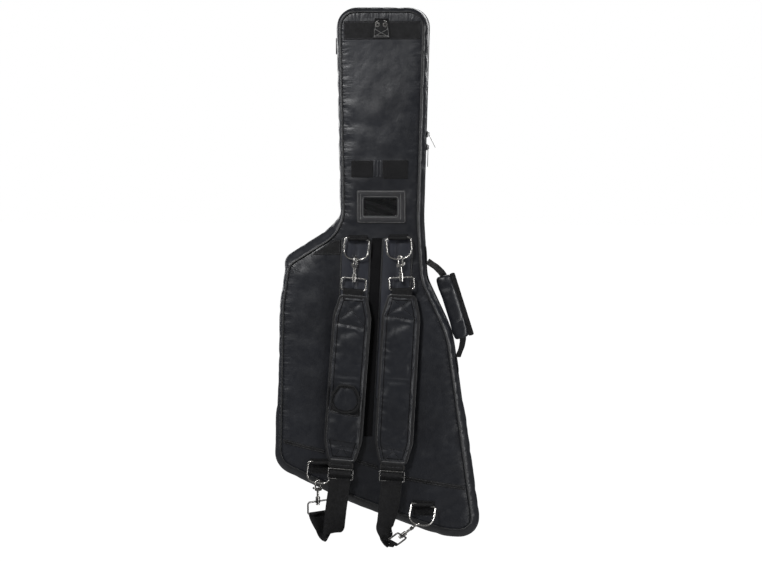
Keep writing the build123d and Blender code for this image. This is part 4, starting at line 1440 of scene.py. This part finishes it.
def pad_pocket(place, on_pad):
    """The small pocket, and the dark band above it."""

    def shaped(loop, lift, thick, puff):
        def under(flat, gap):
            return on_pad(flat, lift)[:, 1] + 0.3

        def over(flat, gap):
            return on_pad(flat, lift + thick)[:, 1] - puff * rise(gap, 6.0)

        return layered(densify(loop, 3.5), 3.5, over, under, 0.5)

    pocket = place.local_outline("pad_pocket")
    (_, low), (half, top) = extent(pocket)
    tilted = np.array([(-half, low), (half, low - 4), (half, top - 5), (-half, top + 2)])
    hem = tube(on_pad(resample([(-half + 1, top + 1), (half - 1, top - 6)], 3.0), 2.6), 1.7, UP)
    lines = [[(-half + 2, top - 2.5), (half - 2, top - 9)], [(half - 2, low + 22), (half - 17, low - 1)]]
    threads = [stitches(on_pad(resample(line, 3.0), 3.4)) for line in lines]
    above = np.array([(-half, top - 4), (half, top - 10), (half, top + 38), (-half, top + 44)])
    body = "left_strap"
    piece("pad_pocket_hem", hem, PIPING, body, place=place, subdivide=1)
    cloth = shaped(tilted, lift=0.2, thick=1.7, puff=1.8)
    piece("pad_pocket_cloth", cloth, LIT_PAD_NYLON, body, "pad_pocket", place, subdivide=1, sharp=80)
    piece("pad_pocket_stitches", threads, THREAD, body, place=place)
    piece("pad_dark_band", shaped(above, lift=0.1, thick=0.6, puff=0.0), TRIM, body, place=place)


def pad_flap(place):
    """Keystone-shaped flap with a corded rim."""
    outline = place.local_outline("pad_flap")
    middle = centre_of(outline)[0], outline[:, 1].max() - 2.5
    shape = np.array(mirrored([(-17, 0), (-26, -13), (-33, -29), (-33, -43), (-25, -57), (-10, -64)]))
    flap = soften(resample(curve(shape + middle, 2.0), 2.5, closed=True), 3)
    y_low, y_high = (corner[1] - place.origin[1] for corner in span("pad_flap"))

    def flap_top(flat, gap):
        pleat = 0.5 * np.sin(flat[:, 0] * 0.55 * 40 / (40 + middle[1] - flat[:, 1])) * smooth(gap, 5, 12)
        return y_low - 2.2 * rise(np.maximum(gap - 6, 0), 7.0) - 0.2 - pleat

    cloth = layered(flap, 3.0, flap_top, lambda flat, gap: np.full(len(flat), y_high), 0.6)
    piece("pad_flap_cloth", cloth, LIT_PAD_NYLON, "left_flap", "pad_flap", place, subdivide=1, sharp=80)
    cords = []
    for depth, lift, radius, sides in ((2.0, 0.6, 2.9, 8), (6.6, 0.8, 1.2, 6)):
        cords.append(tube(at_y(inset(flap, depth), y_low - lift), radius, sides=sides, closed=True))
    piece("pad_flap_rim", cords, TRIM, "left_flap", place=place, subdivide=1, sharp=80)


left_place, _, on_left_pad = pads["left"]
pad_pocket(left_place, on_left_pad)
pad_flap(left_place)


# ---------------------------------------------------------------- side handle


def anchor(solid):
    """A band of webbing sewn along the side wall, slightly bowed."""
    points = corners(solid)
    centre = centre_of(points)
    spread = points - centre
    spread[:, 1] = 0
    along = np.linalg.svd(spread, full_matrices=False)[2][0]
    along = along * math.copysign(1, along[2])
    reach = np.abs(spread @ along).max()
    side = np.cross(DEEP, along)
    side = side * math.copysign(1, side[0])
    bow = ((-1, 0.2), (-0.5, 0.9), (0.5, 0.9), (1, 0.2))
    return ribbon(curve([centre + along * t * reach + side * bulge for t, bulge in bow]), DEEP, 30.0, 1.6)


def grip_wrap(low, high):
    """The wrap, a soft roll made of rings, and the flat lip on its outer side."""
    steps, count = 26, 30
    squareness = 0.75
    half_y = (high[1] - low[1]) / 2
    middle_y = (high[1] + low[1]) / 2
    rings, lip = [], []
    for i in range(steps + 1):
        t = i / steps
        z = low[2] + (high[2] - low[2]) * t
        pinch = 1 - 0.22 * math.exp(-min(t, 1 - t) * 14)
        wave = 0.25 * ripple(np.array([z]), 1.0, (17.0, 26.0, 41.0))[0]
        width = (high[0] - low[0] - 9) / 2 * pinch
        centre_x = low[0] + (high[0] - low[0] - 9) / 2 + 1.0 * math.sin(t * math.pi)
        for a in np.arange(count) * TAU / count:
            c, s = math.cos(a), math.sin(a)
            x = centre_x + (width + 0.3 * wave) * math.copysign(abs(c) ** squareness, c)
            y = middle_y + (half_y * pinch - 0.6 + wave * 0.6) * math.copysign(abs(s) ** squareness, s)
            rings.append((x, y, z))
        lip.append((high[0] - 4.6 + 0.5 * wave, middle_y - half_y * 0.35, z))
    mesh = mesh_of(rings, ring_faces(steps + 1, count))
    pins = np.zeros(len(rings))
    pins[:count] = pins[-count:] = 0.9
    section = mirrored([(5.6, 0.8), (4.6, 1.9), (-3.0, 1.5), (-7.5, 1.1)], across=1)
    wrap = simulate(mesh, pins, pressure=2.0, shrink=-0.03, cap=1.4, stiff=8.0)
    return wrap, sweep(lip, (1, 0, 0), section)


def handle():
    """Webbing handle with a padded wrap that closes on itself along a bound edge."""
    origin, axis = joint("handle_swing")
    place = Place(origin, (axis[2], 0.0, -axis[0]), axis)
    low, high = extent(place.local(node_points("handle_webbing")))
    bow = high[0] - 2.0
    foot, head = low[2], high[2]
    ends = [(-6.0, foot - 5), (0.0, foot + 3), (bow * 0.5, foot + 18), (bow * 0.9, foot + 44)]
    ends += [(bow * 0.9, (foot + head) / 2)]
    ends += [(bow * 0.9, head - 44), (bow * 0.5, head - 18), (0.0, head - 3), (-6.0, head + 5)]
    path = curve([(x, 0, z) for x, z in ends])
    band = ribbon(place.at(path), place.turn((0.42, 0.9, 0)), high[1] - low[1], 2.2)
    piece("handle_strap", band, WEBBING, "handle", "handle_webbing")
    low, high = extent(place.local(node_points("handle_grip")))
    wrap, edge = grip_wrap(low - (7, 0, 10), high + (0, 0, 7))
    piece("handle_wrap", wrap, LIT_PAD_NYLON, "handle", "handle_grip", place, subdivide=1, sharp=80)
    piece("handle_wrap_binding", edge, TRIM, "handle", place=place, subdivide=1, sharp=80)
    anchors = [anchor(solid) for solid in solids("handle_anchors")]
    piece("handle_anchor_webbing", anchors, TRIM, "bag", "handle_anchors")


handle()


# ---------------------------------------------------------------- front pocket and neck rest


def front_pocket():
    """Flat padded pocket on the lid with a piped edge and its own zip."""
    face_y = span("front_pocket")[1][1]
    loop = resample(outline_of("front_pocket", 1), 8.0, closed=True)
    mesh = shell_mesh(loop, POCKET_WALL, face_y, 1, dome(3.2, 26.0), 10.0)
    cap = np.where(mesh[3][:, 2] > 0, 1.6, 1.8)
    mesh = simulate(mesh, shell_pins(mesh, loop, POCKET_WALL), pressure=2.5, shrink=-0.015, cap=cap)
    piece("front_pocket_cloth", mesh, NYLON, "lid", "front_pocket", subdivide=1, thick=SHELL_THICK)
    cord = tube(at_y(grown(loop, 0.9), face_y + 0.7), 1.6, closed=True)
    piece("front_pocket_piping", cord, PIPING, "lid", subdivide=1)
    tree = BVHTree.FromPolygons(mesh[0].tolist(), mesh[1])
    low, high = span("front_pocket_zip")
    x = (low[0] + high[0]) / 2
    line = np.array([(x, z) for z in np.linspace(low[2], high[2], 60)])
    cloth_y = surface_y(tree, line, face_y + 60, -1, low[1])
    path = at_y(line, max(cloth_y.max(), low[1]) - 0.2)
    piece("pocket_zip_tape", ribbon(path, (1, 0, 0), 17.0, 0.9, cells=5), ZIP_TAPE, "lid", "front_pocket_zip")
    teeth = resample(path[2:-2], 1.4)
    teeth[:, 0] += np.where(np.arange(len(teeth)) % 2, 0.7, -0.7)
    piece("pocket_zip_coil", beads(teeth + (0, 0.7, 0), (1, 0, 0), DEEP, 3.2, 0.75), ZIP_COIL, "lid")


front_pocket()


def neck_rest():
    """Plush-covered foam cradle for the guitar's neck, with its strap."""
    low, high = span("neck_rest")
    half = (high[0] - low[0]) / 2
    front, back = low[1], high[1]
    cradle_r = 31.0
    cradle_depth = (back - front - 6) * 0.95
    angles = np.radians(np.linspace(0, -180, 13))
    section = [(-half + 3, front), (half - 3, front), (half, front + 4), (half, back - 3), (half - 3, back)]
    section += [(cradle_r * math.cos(a), back + cradle_depth * math.sin(a)) for a in angles]
    section = np.array(section + [(-half + 3, back), (-half, back - 3), (-half, front + 4)])
    middle = section.mean(0)
    rings = []
    heights = (0, 0.04, 0.12, 0.3, 0.5, 0.7, 0.88, 0.96, 1)
    for t in heights:
        ring = middle + (section - middle) * (1 - 0.05 * (abs(2 * t - 1) ** 12))
        z = low[2] + (high[2] - low[2]) * t
        rings.append(np.stack([ring[:, 0], ring[:, 1], np.full(len(ring), z)], 1))
    block = mesh_of(np.vstack(rings), ring_faces(len(rings), len(section)))
    piece("neck_rest_block", block, PLUSH, "bag", "neck_rest", sharp=40)
    low, high = span("neck_strap")
    z = (low[2] + high[2]) / 2
    foot, y, x = low[1] - 0.5, high[1] - 1.0, high[0] - 1.4
    flat = [(-x, foot), (-x, y - 3), (-x + 3, y), (0, y + 0.4), (x - 3, y), (x, y - 3), (x, foot)]
    strap = ribbon(curve([(a, b, z) for a, b in flat], 3.0), UP, high[2] - low[2], 1.8)
    piece("neck_rest_strap", strap, HOOK_TAPE, "bag", "neck_strap")


neck_rest()


# ---------------------------------------------------------------- CAD pieces that stay


def dress_hardware():
    """Looks of the rings, hooks, sliders and pulls that are shown as the CAD made them."""
    looks = {"hanger_eyelets": NICKEL, "upper_zip_pull": NICKEL}
    for side in SIDES:
        for level in ("upper", "lower"):
            looks |= {f"{side}_{level}_{part}": NICKEL for part in ("ring", "base_ring", "hook", "gate")}
        # The lower base rings and tri-glides get the nickel painted darker, as painted dark reflection.
        looks |= {f"{side}_lower_base_ring": NICKEL_PAINTED_DARK, f"{side}_adjuster": NICKEL_PAINTED_DARK}
    looks |= dict.fromkeys(("upper_zip_slider", "lower_zip_slider", "front_pocket_slider"), SLIDER)
    looks |= dict.fromkeys(("lower_zip_pull", "front_pocket_pull"), CORD)
    for node, look in looks.items():
        materials = frame["nodes"][node].data.materials
        materials.clear()
        materials.append(look)


dress_hardware()


# ---------------------------------------------------------------- floor, light and camera

# name, offset from the bag's middle in metres, size in metres, watts
LIGHTS = [
    ("key", (-1.0, -2.1, 1.6), 0.6, 46.0),
    ("left", (-2.3, -0.9, 0.6), 0.9, 19.0),
    ("right", (2.4, -0.7, 0.2), 0.8, 22.0),
    ("low", (2.0, -1.7, -1.1), 0.7, 10.0),
    ("front", (0.5, 2.8, 1.2), 1.6, 28.0),
    ("front_side", (-1.4, 2.4, 0.3), 1.2, 13.0),
]
FLOOR_DROP = 1.05  # the bag hangs from its eyelets and the open lid swings clear of the floor
FLOOR_HALF = 30.0
LOOK_AT = Vector((-0.001, 0.005, -0.5705))
AZIMUTH, ELEVATION, DISTANCE = math.radians(4.5), math.radians(5.0), 4.5
PICTURE_WIDTH = 1.709  # metres across the picture at the bag


def floor():
    """A pale floor that the camera sees as white and that lights the bag very little."""
    look = Look("pale_floor", "floor")
    pale = look.tinted(look.noise(3.0, 4.0), (0.93, 0.93, 0.93), (0.96, 0.96, 0.96))
    glow = look.graded(look.put("LightPath")["Is Camera Ray"], 0.05, 1.05, 0.0, 1.0)
    grey = (0.3, 0.3, 0.3, 1)
    look.finish(
        Base_Color=grey, Roughness=0.9, Emission_Color=pale, Emission_Strength=glow, Specular_IOR_Level=0.0
    )
    z = cad_box[0].z - FLOOR_DROP
    sheet = [(x * FLOOR_HALF, y * FLOOR_HALF, z) for x, y in ((-1, -1), (1, -1), (1, 1), (-1, 1))]
    data = bpy.data.meshes.new("floor")
    data.from_pydata(sheet, [], [[0, 1, 2, 3]])
    data.materials.append(look.material)
    obj = bpy.data.objects.new("floor", data)
    bpy.context.collection.objects.link(obj)


def sky():
    """White to the camera; to the bag, a dome that is dark below and bright above."""
    world = bpy.data.worlds.new("studio")
    world.use_nodes = True
    nodes = Nodes(world.node_tree)
    direction = nodes.put("TexCoord")["Generated"]
    dome_light = nodes.graded(nodes.put("SeparateXYZ", {"Vector": direction})["Z"], 0.01, 0.14, -0.2, 0.9)
    seen = nodes.put("LightPath")["Is Camera Ray"]
    strength = nodes.put("Mix", {0: seen, 2: dome_light, 3: 1.0})[0]
    nodes.feed(world.node_tree.nodes["Background"], {"Color": (1.0, 1.0, 1.0, 1), "Strength": strength})
    bpy.context.scene.world = world
    bpy.context.scene.view_settings.view_transform = "Standard"


def lights():
    middle = (cad_box[0] + cad_box[1]) / 2
    for name, offset, size, power in LIGHTS:
        light = bpy.data.lights.new(name, "AREA")
        light.size = size
        light.energy = power
        obj = bpy.data.objects.new(name, light)
        bpy.context.collection.objects.link(obj)
        obj.location = middle + Vector(offset)
        obj.rotation_euler = (middle - obj.location).to_track_quat("-Z", "Y").to_euler()


def camera():
    level = math.cos(ELEVATION)
    back = Vector((math.sin(AZIMUTH) * level, -math.cos(AZIMUTH) * level, math.sin(ELEVATION)))
    data = bpy.data.cameras.new("camera")
    data.sensor_width = 36.0
    data.lens = data.sensor_width * DISTANCE / PICTURE_WIDTH
    obj = bpy.data.objects.new("camera", data)
    bpy.context.collection.objects.link(obj)
    obj.location = LOOK_AT + back * DISTANCE
    obj.rotation_euler = back.to_track_quat("Z", "Y").to_euler()
    bpy.context.scene.camera = obj


floor()
sky()
lights()
camera()
